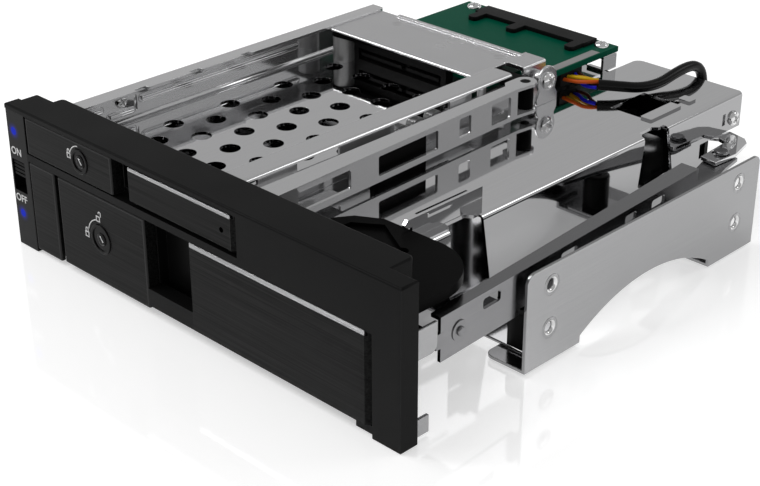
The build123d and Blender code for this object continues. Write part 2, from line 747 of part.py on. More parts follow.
def screw_z(x, y, z_face, length, head_radius):
    """Pan head screw along Z with a cross recess."""
    head = rod_z(x, y, (z_face, z_face + 1.1), head_radius)
    head = fillet(head.edges().filter_by(GeomType.CIRCLE).sort_by(Axis.Z)[-1], 0.5)
    screw = head + rod_z(x, y, (z_face - length, z_face), 1.2)
    arm = head_radius * 0.55
    screw -= span((x - arm, x + arm), (y - 0.3, y + 0.3), (z_face + 0.5, z_face + 2))
    screw -= span((x - 0.3, x + 0.3), (y - arm, y + arm), (z_face + 0.5, z_face + 2))
    return screw


board_bottom = board_top - board_thick
board_screw_y = board_rear - board_hole_inset
board_screw_places = ((4.2, board_screw_y), (-47.2, board_screw_y))


def sata25_connector():
    """Socket wall at the rear of the upper bay with its two tongues toward the drive."""
    mouth = board_front_y - 3.0
    depth = (mouth + 0.2, board_front_y - 0.6)
    body = span((-52, -14), (mouth, board_front_y), (roof_top, board_top + 1.0))
    slot = span((-50, -16), (mouth - 1.2, board_front_y - 1.0), (roof_top + 1.7, board_top - 1.4))
    tongue = span((-49, -32), depth, (roof_top + 3.1, roof_top + 4.1))
    signal = span((-30, -17), depth, (roof_top + 3.1, roof_top + 4.1))
    return body - slot + tongue + signal


def main_board():
    outline = [
        (board_left, board_rear),
        (board_left, board_front_y),
        (0, board_front_y),
        (0, board_shoulder),
        (board_right, board_shoulder),
        (board_right, board_rear),
    ]
    board = plan(outline, (board_bottom, board_top))
    for x, y in board_screw_places:
        board -= rod_z(x, y, (board_bottom - 1, board_top + 1), screw_hole_radius)
    return board


def board_header():
    """Flat black header along the rear of the board with three round-ended tabs toward the front."""
    z = (board_top, board_top + header_height)
    body = span((-42.4, 1.4), (board_rear - 8.5, board_rear - 2), z)
    for x in ((-41, -37.7), (-25.5, -21.7), (-2.4, 1.1)):
        tab = span(x, (board_rear - 14, board_rear - 7.5), z)
        body += fillet(tab.edges().filter_by(Axis.Z).sort_by(Axis.Y)[0:2], 1.2)
    return body


def board_legs():
    """Two folded steel feet under the rear corners of the board."""
    legs = []
    for x, wall in ((4.2, 7.1), (-47.2, -51.4)):
        low, high = sorted((x, wall))
        y = (board_rear - 7.0, board_rear - 0.5)
        top = span((low - 2.4, high + sheet), y, (board_bottom - sheet, board_bottom))
        leg = span((wall, wall + sheet), y, (roof_top, board_bottom))
        foot = span((low - 2.4, high + sheet), (y[0], roof_rear_left), (roof_top, roof_top + sheet))
        piece = top + leg + foot
        piece -= rod_z(x, board_screw_y, (board_bottom - 2, board_bottom + 1), screw_hole_radius)
        legs.append(piece)
    return Compound(children=legs)


def wire_plug():
    return span((0.5, 7.6), (136.5, 146.5), (30.2, board_bottom))


# Cable from the upper board over the rear edge to the lower board

sleeve_route = (
    (18.0, 141.0, 32.6),
    (23.0, 144.5, 31.9),
    (27.0, 150.0, 31.5),
    (29.4, 156.5, 31.9),
    (30.4, 163.0, 32.6),
    (31.0, 169.0, 32.9),
    (31.8, body_rear + 1.2, 31.6),
    (32.4, body_rear + 3.6, 27.0),
    (32.6, body_rear + 3.8, 21.0),
    (32.8, body_rear + 2.4, 15.4),
    (33.0, body_rear - 1.2, 10.4),
)
sleeve_end_y = body_rear - 6.8


def tube_along(points, radius, share=0.45):
    """A round cord: straight runs joined by tangent arcs, each arc as large as its runs allow."""
    path_points = [Vector(*p) for p in points]
    radii = []
    for before, here, after in zip(path_points, path_points[1:], path_points[2:]):
        arrive = here - before
        leave = after - here
        half_turn = math.radians(arrive.get_angle(leave)) / 2
        radii.append(share * min(arrive.length, leave.length) / math.tan(half_turn))
    path = FilletPolyline(*path_points, radius=radii)
    start = Plane(origin=path @ 0, z_dir=path % 0)
    tube = sweep(start * Circle(radius), path)
    print("cord radii", [round(r, 1) for r in radii], "volume ratio",
          round(tube.volume / (math.pi * radius ** 2 * path.length), 3))
    return tube


def cable_sleeve():
    return tube_along(sleeve_route + ((33.0, sleeve_end_y, 10.4),), sleeve_radius)


def wires():
    """Loose wires from the plug under the board to the sleeve's mouth."""
    strands = []
    for number in range(5):
        start = (7.6, 138.2 + 1.7 * number, 32.2 + 0.35 * (number % 2))
        turn = 2 * math.pi * number / 5
        direction = (Vector(*sleeve_route[1]) - Vector(*sleeve_route[0])).normalized()
        across = Vector(-direction.Y, direction.X, 0).normalized()
        lift = direction.cross(across)
        goal = Vector(*sleeve_route[0]) + across * (1.1 * math.cos(turn)) + lift * (1.1 * math.sin(turn))
        bend = goal - direction * 3.2
        strands.append(tube_along((start, (11.5, start[1], start[2] + 0.3), tuple(bend), tuple(goal)),
                                  wire_radius))
    return Compound(children=strands)


# Side plates, posts, lower ejector

def side_bracket_right():
    """Mounting plate: an upright side with four countersunk holes, and an arch that leaves a foot at each end."""
    y = (bracket_front, bracket_rear)
    skin = (bracket_face - sheet, bracket_face)
    face = Polygon((y[0], bracket_floor), (y[1], bracket_floor), (y[1], bracket_top), (y[0], bracket_top), align=None)
    face = fillet(face.vertices().sort_by(Axis.Y)[-2:], 2.5)
    plate = extrude(Plane.YZ.offset(skin[0]) * face, sheet, dir=(1, 0, 0))
    foot = span((bracket_inner, bracket_face), y, (bracket_floor, bracket_floor + sheet))
    foot = fillet(foot.edges().filter_by(Axis.Z).sort_by(Axis.X)[0:2], 2.5)
    shape = plate + foot
    low = bracket_floor + arch_side
    arch = make_face(
        Line((arch_front, bracket_floor - 2), (arch_front, low))
        + ThreePointArc((arch_front, low), ((arch_front + arch_rear) / 2, bracket_floor + arch_rise), (arch_rear, low))
        + Polyline((arch_rear, low), (arch_rear, bracket_floor - 2), (arch_front, bracket_floor - 2))
    )
    shape -= extrude(Plane.YZ.offset(bracket_inner - 1) * arch, bracket_face - bracket_inner + 2, dir=(1, 0, 0))
    for y in (side_hole_front, side_hole_front + side_hole_spacing):
        for z in (side_hole_low, side_hole_low + side_hole_rise):
            shape -= rod_x(y, z, (bracket_face - 3, bracket_face + 1), side_hole_radius)
            sink = Cone(side_hole_radius, side_sink_radius, side_sink_depth)
            shape -= Pos(bracket_face - side_sink_depth / 2, y, z) * Rot(0, 90, 0) * sink
    return shape


def spacer_posts(sign):
    """Black posts on the wings, each with a steel washer band."""
    posts = []
    x = sign * (bracket_face - 8.8)
    for y in (wing_front + 3.9, wing_rear - 6.0):
        post = rod_z(x, y, (tray_top, post_top), 3.7)
        post = fillet(post.edges().filter_by(GeomType.CIRCLE).sort_by(Axis.Z)[-1], 0.6)
        posts.append(post - rod_z(x, y, (post_top - 3, post_top + 1), 1.4))
    return Compound(children=posts)


def rod_inner(y):
    """X of the rod's inner edge: the rod runs inward toward the rear."""
    return bracket_face - 4.1 - 7.2 * (y - 16) / 105.5


def rod_outer(y):
    """X of the rod's outer edge."""
    return bracket_face - 1.0 - 4.3 * (y - 16) / 95.0


def pull_rod():
    """Folded rod beside the wide bay: a top flange, an upright face with notches, and a front tab."""
    y0, y1 = 15.0, 121.0
    top = plan([(rod_inner(y0), y0), (rod_outer(y0), y0), (rod_outer(y1), y1), (rod_inner(y1), y1)],
               (rod_top - sheet, rod_top))
    face = plan([(rod_outer(y0) - sheet, y0), (rod_outer(y0), y0), (rod_outer(y1), y1), (rod_outer(y1) - sheet, y1)],
                (rod_bottom, rod_top))
    shape = top + face
    for y in ((30.0, 36.5), (60.0, 66.5), (87.0, 92.0), (99.0, 105.0)):
        window = span((rod_outer(y[0]) - 3, rod_outer(y[0]) + 3), y, (rod_top - 4.4, rod_top - 1.6))
        shape -= fillet(window.edges().filter_by(Axis.X), 0.8)
    for y in (44.0, 110.0):
        shape -= span((rod_outer(y) - 3, rod_outer(y) + 3), (y, y + 5), (rod_bottom - 1, rod_bottom + 1.6))
    # Round boss pressed outward near the front, with its rivet
    boss_x = rod_outer(rivet_place[0])
    shape += rod_x(*rivet_place, (boss_x - sheet, boss_x + 0.35), 2.6)
    rivet = rod_x(*rivet_place, (boss_x - 2 * sheet, boss_x + 1.0), 1.2)
    shape += fillet(rivet.edges().filter_by(GeomType.CIRCLE).sort_by(Axis.X)[-1], 0.5)
    # Front tab that the wide door's crank pulls
    shape += span((60.4, rod_outer(y0)), (tab_front, tab_front + sheet), rod_tab_z)
    shape += span((rod_outer(y0) - sheet, rod_outer(y0)), (tab_front, y0 + 1), rod_tab_z)
    return shape


def rod_plate():
    """Flat link from the rod's rear end to the lever, with the pin that runs in the lever's slot."""
    z = (lever35_bottom - lever_gap - lever35_thick, lever35_bottom - lever_gap)
    x, y = pin35_place
    outline = [
        (rod_outer(110) - sheet, 108),
        (rod_outer(121) - sheet, 121),
        (x + 4.7, y - 4.5),
        (x + 3.3, y + 3.5),
        (x - 2.7, y + 3.5),
        (x - 2.9, y - 4.5),
        (rod_inner(121) - 2.9, 121),
        (rod_inner(108) - 1.7, 108),
    ]
    plate = plan(outline, z)
    neck_top = lever35_bottom + lever35_thick + lever_gap
    plate += rod_z(x, y, (z[0], neck_top), 1.4)
    head = rod_z(x, y, (neck_top, neck_top + 0.9), 2.1)
    return plate + fillet(head.edges().filter_by(GeomType.CIRCLE).sort_by(Axis.Z)[-1], 0.5)


def ejector_lever35():
    """Steel lever across the rear of the wide bay, hooked forward to meet the rod outside the wall."""
    z = (lever35_bottom, lever35_bottom + lever35_thick)
    x, y = lever35_pivot
    pin_x, pin_y = pin35_place
    arm = 2.9
    outline = [
        (x, y - arm),
        (wall_right - 8.7, y - arm),
        (wall_right + 0.8, y + 1.6),
        (pin_x - 3.9, y + 0.6),
        (pin_x - 3.1, pin_y - 5.7),
        (pin_x + 2.3, pin_y - 6.4),
        (pin_x + 3.0, pin_y + 2.9),
        (pin_x + 1.0, y + 4.2),
        (pin_x - 1.2, y + 6.6),
        (wall_right + 0.3, y + 8.0),
        (wall_right - 3.5, y + arm),
        (x, y + arm),
    ]
    lever = plan(outline, z) + rod_z(x, y, z, post_radius + 1.4)
    slot = Pos(pin_x - 0.3, pin_y) * SlotCenterToCenter(1.8, 3.6)
    lever -= extrude(Plane.XY.offset(z[0] - 1) * slot, lever35_thick + 2, dir=(0, 0, 1))
    return lever - rod_z(x, y, (z[0] - 1, z[1] + 1), post_radius + running_gap)


# Rear of the lower bay

rear_board_back = rear_board_front + rear_board_thick


def backplane35_board():
    return span((-44, 42), (rear_board_front, rear_board_back), (tray_top, roof_top - 3 * sheet))


def sata35_connector():
    """Socket of the wide bay with its two tongues toward the drive."""
    mouth = rear_board_front - socket_depth
    body = span((-42, -2), (mouth, rear_board_front), (4.0, 12.0))
    slot = span((-40, -4), (mouth - 1, rear_board_front - 1.5), (5.6, 10.4))
    power_tongue = span((-39, -21), (mouth + 0.5, rear_board_front - 1), (7.4, 8.6))
    signal_tongue = span((-18, -5), (mouth + 0.5, rear_board_front - 1), (7.4, 8.6))
    return body - slot + power_tongue + signal_tongue


def cable_plug():
    return span((29.2, 37.2), (rear_board_back, sleeve_end_y), (6.6, 14.2))


def angle_piece(x, face_y, direction):
    """A small angle on the tray with its upright leg against one side of the rear board."""
    foot_y = sorted((face_y, face_y + 6.0 * direction))
    rise_y = sorted((face_y, face_y + sheet * direction))
    foot = span((x, x + 8), foot_y, (tray_top, tray_top + sheet))
    return foot + span((x, x + 8), rise_y, (tray_top, 12.0))


def board_brackets():
    """Two angles that hold the lower board upright on the tray, one on each side of it."""
    return Compound(children=[angle_piece(-30.0, rear_board_back, 1), angle_piece(20.0, rear_board_front, -1)])


def rear_bracket():
    """Angle inside the rear corner that the wall screw draws up."""
    y = (body_rear - 12.0, body_rear - 0.6)
    y_screw, z_screw = wall_screw_place
    upright = span((wall_inner - sheet, wall_inner), y, (z_screw - 2.7, roof_top - sheet))
    top = span((wall_inner - 9.8, wall_inner), y, (roof_top - 2 * sheet, roof_top - sheet))
    return upright + top - rod_x(y_screw, z_screw, (wall_inner - 3, wall_inner + 1), screw_hole_radius)


def build_parts():
    lever25_z = (lever25_bottom, lever25_bottom + lever25_thick)
    lever35_z = (lever35_bottom, lever35_bottom + lever35_thick)
    door25_z = (shelf_top + door_gap, top_bar_bottom - door_gap)
    door35_z = (sill_top + 0.8, shelf_bottom - door_gap - 0.1)
    block25_z = (shelf_top + 0.2, top_bar_bottom - 0.2)
    block35_z = (sill_top - 0.4, shelf_bottom - 0.4)
    flap25_z = (shelf_top + 1.3, top_bar_bottom - 0.4)
    flap35_z = (sill_top + 0.6, shelf_bottom - 0.2)
    trim25_height = 1.0
    trim35_height = 1.3
    right_bracket = side_bracket_right()
    lip = span((block35_right, flap35_left), (0, door_skin + 0.5), (flap35_z[0], 7.6))
    carrier35 = carrier(block35_left + 0.2, flap35_right - 0.6, door35_z, pivot35, barrel35_radius, pin35_radius,
                        rod_tab_z, (block35_right, flap35_left), lock35, lock35_radius)
    return {
        "bezel_frame": bezel_frame(),
        "indicator_strip": indicator_strip(),
        "led_lenses": led_lenses(),
        "indicator_board": indicator_board(),
        "switch_housing": switch_housing(),
        "power_switch": power_switch(),
        "side_panel": side_panel(),
        "hinge_cover": hinge_cover(),
        "door25_hinge_pin": hinge_pin(pivot25, pin25_radius, (shelf_top - 1.4, top_bar_bottom + 1)),
        "door35_hinge_pin": hinge_pin(pivot35, pin35_radius, (0.6, shelf_bottom + 1.4)),
        "bezel_bracket_right": bezel_bracket(ear_depth),
        "bezel_bracket_left": mirrored(bezel_bracket(strip_side_depth)),
        "door25_carrier": carrier(block25_left, flap25_right - 0.4, door25_z, pivot25, barrel25_radius,
                                  pin25_radius, (shelf_top + 4.5, shelf_top + 6.5), (block25_right, flap25_left), lock25,
                                  lock25_radius),
        "door25_block": block(block25_left, block25_right, block25_z, lock25, lock25_radius),
        "door25_flap": flap(flap25_left, flap25_right, flap25_z, trim25_height, 1.5, pivot25, barrel25_radius),
        "door25_trim": trim(flap25_left, flap25_right - 1.5, (flap25_z[1] - trim25_height, flap25_z[1])),
        "door25_lock_ring": lock_ring(lock25, lock25_radius),
        "door25_lock": lock_plug(lock25, lock25_radius, lock25[1] - shelf_top + cam_hold, 1),
        "door35_carrier": carrier35 + lip,
        "door35_block": block(block35_left, block35_right, block35_z, lock35, lock35_radius),
        "door35_flap": flap(flap35_left, flap35_right, flap35_z, trim35_height, 2.0, pivot35, barrel35_radius),
        "door35_trim": trim(flap35_left, flap35_right - 2.0, (flap35_z[1] - trim35_height, flap35_z[1])),
        "door35_lock_ring": lock_ring(lock35, lock35_radius),
        "door35_lock": lock_plug(lock35, lock35_radius, shelf_bottom - lock35[1] + cam_hold, -1),
        "bay_plate": bay_plate() + upright_tab(),
        "plate_tabs": plate_tabs(),
        "base_tray": base_tray(),
        "cage25_left_wall": cage25_left_wall(),
        "cage25_right_wall": cage25_right_wall(),
        "bearing_rollers": bearing_rollers(),
        "slider_bar": slider_bar(),
        "bar_guide": bar_guide(),
        "ejector_lever25": ejector_lever25(),
        "lever25_post": lever_post(lever25_pivot, roof_top, lever25_z),
        "backplane_cover": backplane_cover(),
        "link_plate": link_plate(),
        "link_screw": screw_x(*link_place, link_inner + link_thick, 6.3, 2.6),
        "sata25_connector": sata25_connector(),
        "main_board": main_board(),
        "board_header": board_header(),
        "board_screws": Compound(children=[screw_z(x, y, board_top, 2.4, 2.3) for x, y in board_screw_places]),
        "board_legs": board_legs(),
        "wire_plug": wire_plug(),
        "wires": wires(),
        "cable_sleeve": cable_sleeve(),
        "cable_plug": cable_plug(),
        "side_bracket_right": right_bracket,
        "side_bracket_left": mirrored(right_bracket),
        "spacer_posts_right": spacer_posts(1),
        "spacer_posts_left": spacer_posts(-1),
        "pull_rod": pull_rod(),
        "rod_plate": rod_plate(),
        "ejector_lever35": ejector_lever35(),
        "lever35_post": lever_post(lever35_pivot, tray_top, lever35_z),
        "backplane35_board": backplane35_board(),
        "sata35_connector": sata35_connector(),
        "board_brackets": board_brackets(),
        "rear_bracket": rear_bracket(),
        "wall_screw": screw_x(*wall_screw_place, wall_right, 2.4, 2.3),
    }


os.makedirs("parts", exist_ok=True)
parts = build_parts()
foremost = min(shape.bounding_box().min.Y for shape in parts.values())
rearmost = max(shape.bounding_box().max.Y for shape in parts.values())
to_middle = -(foremost + rearmost) / 2
print("moved along Y by", round(to_middle, 4), "depth", round(rearmost - foremost, 3))
for name, shape in parts.items():
    export_step(Pos(0, to_middle, 0) * shape, f"parts/{name}.step")
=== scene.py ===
# %% [markdown]
# # A drive frame for a computer bay
# The real object is folded, polished steel behind a black moulded face. Two doors in the face pull
# levers that push a drive out. The solids come from the CAD model; this script gives them their
# finish, adds the small printed, soldered and wired details, and sets the camera, the light and
# the floor.

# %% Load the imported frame
import json
import bmesh
import bpy
import numpy as np
from mathutils import Matrix, Vector

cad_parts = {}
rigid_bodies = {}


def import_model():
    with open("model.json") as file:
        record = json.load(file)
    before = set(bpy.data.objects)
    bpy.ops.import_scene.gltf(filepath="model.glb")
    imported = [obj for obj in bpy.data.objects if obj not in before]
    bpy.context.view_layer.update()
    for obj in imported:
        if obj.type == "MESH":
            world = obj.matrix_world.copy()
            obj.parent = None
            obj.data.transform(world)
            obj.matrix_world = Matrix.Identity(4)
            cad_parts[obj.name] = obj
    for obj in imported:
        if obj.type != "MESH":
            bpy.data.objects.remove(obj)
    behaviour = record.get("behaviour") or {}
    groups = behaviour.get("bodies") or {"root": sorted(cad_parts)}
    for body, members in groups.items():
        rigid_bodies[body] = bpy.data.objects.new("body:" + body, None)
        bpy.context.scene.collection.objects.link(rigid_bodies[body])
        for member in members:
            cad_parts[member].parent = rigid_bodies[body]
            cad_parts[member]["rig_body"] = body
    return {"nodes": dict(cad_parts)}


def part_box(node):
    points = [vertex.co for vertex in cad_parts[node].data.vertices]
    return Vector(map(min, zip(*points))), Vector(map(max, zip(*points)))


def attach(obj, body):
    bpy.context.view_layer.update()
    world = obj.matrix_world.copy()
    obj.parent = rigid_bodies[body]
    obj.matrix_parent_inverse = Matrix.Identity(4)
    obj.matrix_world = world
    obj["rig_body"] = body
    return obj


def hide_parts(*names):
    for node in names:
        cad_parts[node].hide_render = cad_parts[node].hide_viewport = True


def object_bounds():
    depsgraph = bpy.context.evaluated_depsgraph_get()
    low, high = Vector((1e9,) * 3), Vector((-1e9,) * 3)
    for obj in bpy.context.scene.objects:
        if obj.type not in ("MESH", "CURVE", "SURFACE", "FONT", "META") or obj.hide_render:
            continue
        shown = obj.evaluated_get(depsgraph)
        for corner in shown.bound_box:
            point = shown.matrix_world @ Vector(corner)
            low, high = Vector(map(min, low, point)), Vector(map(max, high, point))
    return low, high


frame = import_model()
cad_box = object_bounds()
nodes = frame["nodes"]
MM = 0.001
print("CAD box in metres:", cad_box)

# %% [markdown]
# ## Where things are
# CAD coordinates are millimetres from the middle of the object. It is easier to measure from the
# front plane of the face, so one function moves a place given from that plane to the object's own
# frame, in metres.

# %% Places measured from the face
face_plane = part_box("bezel_frame")[0][1]


def place(x, y, z):
    """A point in metres: x from the middle, y back from the face's front plane, z up from the floor."""
    return np.array([x * MM, y * MM + face_plane, z * MM])


print("the face stands at y =", round(float(face_plane), 5))

# %% [markdown]
# ## The camera
# The photograph's camera was found from the face's corners, whose real sizes are known. It looks
# down by 27 degrees from the front right. The focal length is given in pixels of a picture 760
# wide, and becomes millimetres on a 36 mm sensor. The optical axis meets the picture a few pixels
# from its centre, so the shift is small.

# %% Camera
picture_width, picture_height = 760, 486
focal_pixels = 1595.006
axis_x, axis_y = 376.967, 239.96
azimuth, elevation, roll = np.radians([44.81, 27.176, -0.197])
eye = place(277.767, -212.12, 204.627)

lens = bpy.data.cameras.new("camera")
lens.sensor_width = 36
lens.lens = focal_pixels * lens.sensor_width / picture_width
lens.shift_x = (picture_width / 2 - axis_x) / picture_width
lens.shift_y = (axis_y - picture_height / 2) / picture_width
lens.clip_end = 20
camera = bpy.data.objects.new("camera", lens)
turn = (
    Matrix.Rotation(azimuth, 4, "Z")
    @ Matrix.Rotation(np.pi / 2 - elevation, 4, "X")
    @ Matrix.Rotation(roll, 4, "Z")
)
camera.matrix_world = Matrix.Translation(eye) @ turn
bpy.context.collection.objects.link(camera)
bpy.context.scene.camera = camera
bpy.context.scene.view_settings.view_transform = "Standard"
print("lens", round(lens.lens, 2), "mm")

# %% [markdown]
# ## Colours and nodes
# Colours are written as they look on a screen and turned to the linear values that light sums
# with. One helper adds any node: it sets the node's own settings, then fills its sockets with
# values or joins them to others.

# %% Helpers for materials


def linear(text):
    """Linear colour of an sRGB hex text: a part p becomes p / 12.92, or above 0.04045 it becomes
    ((p + 0.055) / 1.055) ** 2.4."""
    parts = np.array([int(text[i:i + 2], 16) for i in (1, 3, 5)]) / 255
    values = np.where(parts <= 0.04045, parts / 12.92, ((parts + 0.055) / 1.055) ** 2.4)
    return (*values.tolist(), 1.0)


def add(tree, kind, sockets=None, **settings):
    """Adds one node with its settings, and gives each named or numbered socket a value or a link."""
    node = tree.nodes.new(kind)
    for name, value in settings.items():
        setattr(node, name, value)
    for name, value in (sockets or {}).items():
        if isinstance(value, bpy.types.NodeSocket):
            tree.links.new(value, node.inputs[name])
        else:
            node.inputs[name].default_value = value
    return node


def start_material(name):
    """A new material with an empty tree, and the position on the object in metres."""
    made = bpy.data.materials.new(name)
    made.use_nodes = True
    tree = made.node_tree
    tree.nodes.clear()
    where = add(tree, "ShaderNodeTexCoord").outputs["Object"]
    return made, tree, where


def end_material(made, tree, shader):
    """Joins the shader to the output and gives the material back."""
    add(tree, "ShaderNodeOutputMaterial", {"Surface": shader.outputs[0]})
    return made


def dress(finish, *names):
    """Gives CAD nodes a finish."""
    for name in names:
        nodes[name].data.materials.clear()
        nodes[name].data.materials.append(finish)


# %% [markdown]
# ## Polished steel
# The cage is bright cold-rolled sheet, buffed to a mirror: what looks like structure in the
# photograph is often a reflection. A picture of a mirror could be painted on, but then it would be
# wrong from any other side, so the finish is a real mirror: nearly full metal, pale, and almost
# without roughness. Rolling leaves faint lines along the sheet. They are finer than a picture
# point, so they are drawn half a millimetre apart. Buffing leaves clouds of duller gloss.

# %% Steel
ROLLING_LINE_MM = 0.5
LINE_STRETCH = 100
BUFFING_CLOUD_MM = 50 / 3


def steel_finish(name, tint, rough, line_height=0.0, metal=1.0, along="Y", painted_side_shade=None):
    """Metal with rolling lines: noise stretched a hundredfold along one axis, in tint and relief.
    With a painted side shade, faces take that colour the more upright they stand: by 1 less the size of the
    normal's Z. It is painted shade on the upright faces."""
    made, tree, where = start_material(name)
    pitch = 1 / (ROLLING_LINE_MM * MM)
    long_pitch = pitch / LINE_STRETCH
    scale = (pitch, long_pitch, pitch) if along == "Y" else (long_pitch, pitch, pitch)
    lines = add(tree, "ShaderNodeMapping", {0: where, "Scale": scale})
    grain = add(tree, "ShaderNodeTexNoise", {"Vector": lines.outputs[0], "Scale": 1.0, "Detail": 2.0})
    cloud = add(
        tree, "ShaderNodeTexNoise",
        {"Vector": where, "Scale": 1 / (BUFFING_CLOUD_MM * MM), "Detail": 3.0},
    )
    spread = add(tree, "ShaderNodeMapRange", {
        "Value": cloud.outputs[0],
        "From Min": 0.3,
        "From Max": 0.7,
        "To Min": rough * 0.75,
        "To Max": rough * 1.3,
    })
    shade = add(
        tree, "ShaderNodeMix",
        {0: grain.outputs[0], 6: linear(tint[0]), 7: linear(tint[1])}, data_type="RGBA",
    )
    colour = shade.outputs[2]
    # Painted shade: upright faces are mixed towards the darker side colour.
    if painted_side_shade:
        facing = add(tree, "ShaderNodeTexCoord").outputs["Normal"]
        rise = add(tree, "ShaderNodeSeparateXYZ", {0: facing}).outputs[2]
        rise = add(tree, "ShaderNodeMath", {0: rise}, operation="ABSOLUTE").outputs[0]
        flat = add(tree, "ShaderNodeMapRange", {"Value": rise, "From Min": 0.2, "From Max": 0.8})
        sides = add(
            tree, "ShaderNodeMix",
            {0: flat.outputs[0], 6: linear(painted_side_shade), 7: colour}, data_type="RGBA",
        )
        colour = sides.outputs[2]
    scratch = add(
        tree, "ShaderNodeBump",
        {"Height": grain.outputs[0], "Distance": 0.01 * MM, "Strength": line_height},
    )
    shader = add(tree, "ShaderNodeBsdfPrincipled", {
        "Base Color": colour,
        "Metallic": metal,
        "Roughness": spread.outputs[0],
        "Normal": scratch.outputs[0],
    })
    return end_material(made, tree, shader)


PALE = ("#d6d6d7", "#dededf")
# Stainless sheet, buffed: a near mirror, which takes its greys from the room.
polished_steel = steel_finish("polished_steel", PALE, 0.05, line_height=0.03, metal=0.95)
# Bright zinc over sheet: part mirror, part pale paint, so it stays light where the room is dark.
bright_sheet = steel_finish(
    "bright_cage_sheet", ("#c4c4c5", "#cbcbcc"), 0.08, line_height=0.04, metal=0.72,
)
# Stainless sheet with a little wear: mirrors blur, and the wall reads as light grey.
left_wall_steel = steel_finish(
    "left_wall_steel", ("#d8d8d9", "#e0e0e1"), 0.1, line_height=0.04, metal=0.85,
)
# Stainless sheet left satin: a darker tint and a wider gloss give a soft even grey.
satin_steel = steel_finish("satin_side_steel", ("#989899", "#a0a0a1"), 0.2, line_height=0.1)
# The folded plate is buffed on its flat; its upright faces are painted a darker grey, as painted shade.
folded_steel = steel_finish(
    "folded_plate_steel", PALE, 0.05, line_height=0.03, painted_side_shade="#a2a2a3",
)
# Mild steel strip, satin: the darkest grey of the metal parts.
rod_steel = steel_finish("satin_rod_steel", ("#78787a", "#828283"), 0.2, line_height=0.1)
# Cover sheet, grained across: it scatters the sky and shows as a broad pale field.
satin_cover = steel_finish(
    "satin_cover_steel", ("#cfcfd0", "#d6d6d7"), 0.22, line_height=0.1, along="X",
)
# Nickel plate over turned steel: small hard highlights.
nickel_screw = steel_finish("nickel_screw", ("#d4d4d4", "#e0e0e0"), 0.12)
# Steel straight from the lathe: fine grooves make it dull.
turned_steel = steel_finish("turned_steel", ("#a0a0a0", "#acacac"), 0.3, metal=0.6)
print("steels made:", len(bpy.data.materials))

# %% [markdown]
# ## Black plastics and brushed faces
# The face is moulded ABS with a very fine spark texture. The door fronts are faced with black
# anodised aluminium, brushed sideways: the lines are hair-thin, so they are drawn a third of a
# millimetre apart or more, to show at all. The indicator strip is smoked and glossier.

# %% Plastics
SPARK_GRIT_MM = 0.25
GLOSS_CLOUD_MM = 25


def moulded_finish(name, colour, rough, bite=0.12, shine=0.1):
    """Moulded plastic: one colour, a fine spark texture as relief, and a gloss that clouds a little."""
    made, tree, where = start_material(name)
    grit = add(
        tree, "ShaderNodeTexNoise",
        {"Vector": where, "Scale": 1 / (SPARK_GRIT_MM * MM), "Detail": 2.0},
    )
    cloud = add(
        tree, "ShaderNodeTexNoise",
        {"Vector": where, "Scale": 1 / (GLOSS_CLOUD_MM * MM), "Detail": 2.0},
    )
    spread = add(tree, "ShaderNodeMapRange", {
        "Value": cloud.outputs[0],
        "From Min": 0.3,
        "From Max": 0.7,
        "To Min": rough * 0.9,
        "To Max": rough * 1.12,
    })
    bump = add(
        tree, "ShaderNodeBump",
        {"Height": grit.outputs[0], "Distance": 0.03 * MM, "Strength": bite},
    )
    shader = add(tree, "ShaderNodeBsdfPrincipled", {
        "Base Color": linear(colour),
        "Roughness": spread.outputs[0],
        "IOR": 1.53,
        "Specular IOR Level": shine,
        "Normal": bump.outputs[0],
    })
    return end_material(made, tree, shader)


def brushed_finish(name, dark, light, rough, line_mm, metal, shine):
    """Brushed lines along X: noise stretched a hundredfold sideways, in colour, gloss and relief."""
    made, tree, where = start_material(name)
    pitch = 1 / (line_mm * MM)
    stretched = add(
        tree, "ShaderNodeMapping", {0: where, "Scale": (pitch / LINE_STRETCH, pitch, pitch)},
    )
    hair = add(
        tree, "ShaderNodeTexNoise",
        {"Vector": stretched.outputs[0], "Scale": 1.0, "Detail": 3.0},
    )
    contrast = add(
        tree, "ShaderNodeMapRange", {"Value": hair.outputs[0], "From Min": 0.35, "From Max": 0.68},
    )
    shade = add(
        tree, "ShaderNodeMix",
        {0: contrast.outputs[0], 6: linear(dark), 7: linear(light)}, data_type="RGBA",
    )
    spread = add(tree, "ShaderNodeMapRange", {
        "Value": hair.outputs[0],
        "From Min": 0.3,
        "From Max": 0.7,
        "To Min": rough * 0.85,
        "To Max": rough * 1.15,
    })
    bump = add(
        tree, "ShaderNodeBump",
        {"Height": hair.outputs[0], "Distance": 0.04 * MM, "Strength": 0.25},
    )
    shader = add(tree, "ShaderNodeBsdfPrincipled", {
        "Base Color": shade.outputs[2],
        "Metallic": metal,
        "Roughness": spread.outputs[0],
        "Specular IOR Level": shine,
        "Normal": bump.outputs[0],
    })
    return end_material(made, tree, shader)


# ABS, spark-textured mould: near black with hardly any sheen.
moulded_black = moulded_finish("moulded_black_abs", "#0f0f0f", 0.4, shine=0.05)
# Smoked acrylic: smoother, so the lights behind it show and glow into it.
smoked_strip = moulded_finish("smoked_strip", "#080809", 0.3, bite=0.05, shine=0.08)
# Glass-filled nylon of the plugs and sockets: dull black.
deep_black = moulded_finish("deep_black_nylon", "#0c0c0c", 0.5)
# Acetal cover and levers: smooth and the deepest black on the object.
cover_black = moulded_finish("smooth_black_cover", "#060606", 0.38, bite=0.04, shine=0.02)
# Painted shade: pure black without gloss, standing in for the dark inside of a small hole, where no light
# comes back.
painted_hole_shade = moulded_finish("painted_hole_shade", "#000000", 0.9, bite=0.0, shine=0.0)
# ABS edges in a lighter grey: a painted highlight, a thin lighter line round every moulded form.
painted_edge_highlight = moulded_finish("painted_edge_highlight_abs", "#383838", 0.4, shine=0.1)
# Rubber posts: matt, a little lighter than the plugs.
post_rubber = moulded_finish("post_rubber", "#0e0e0e", 0.45)
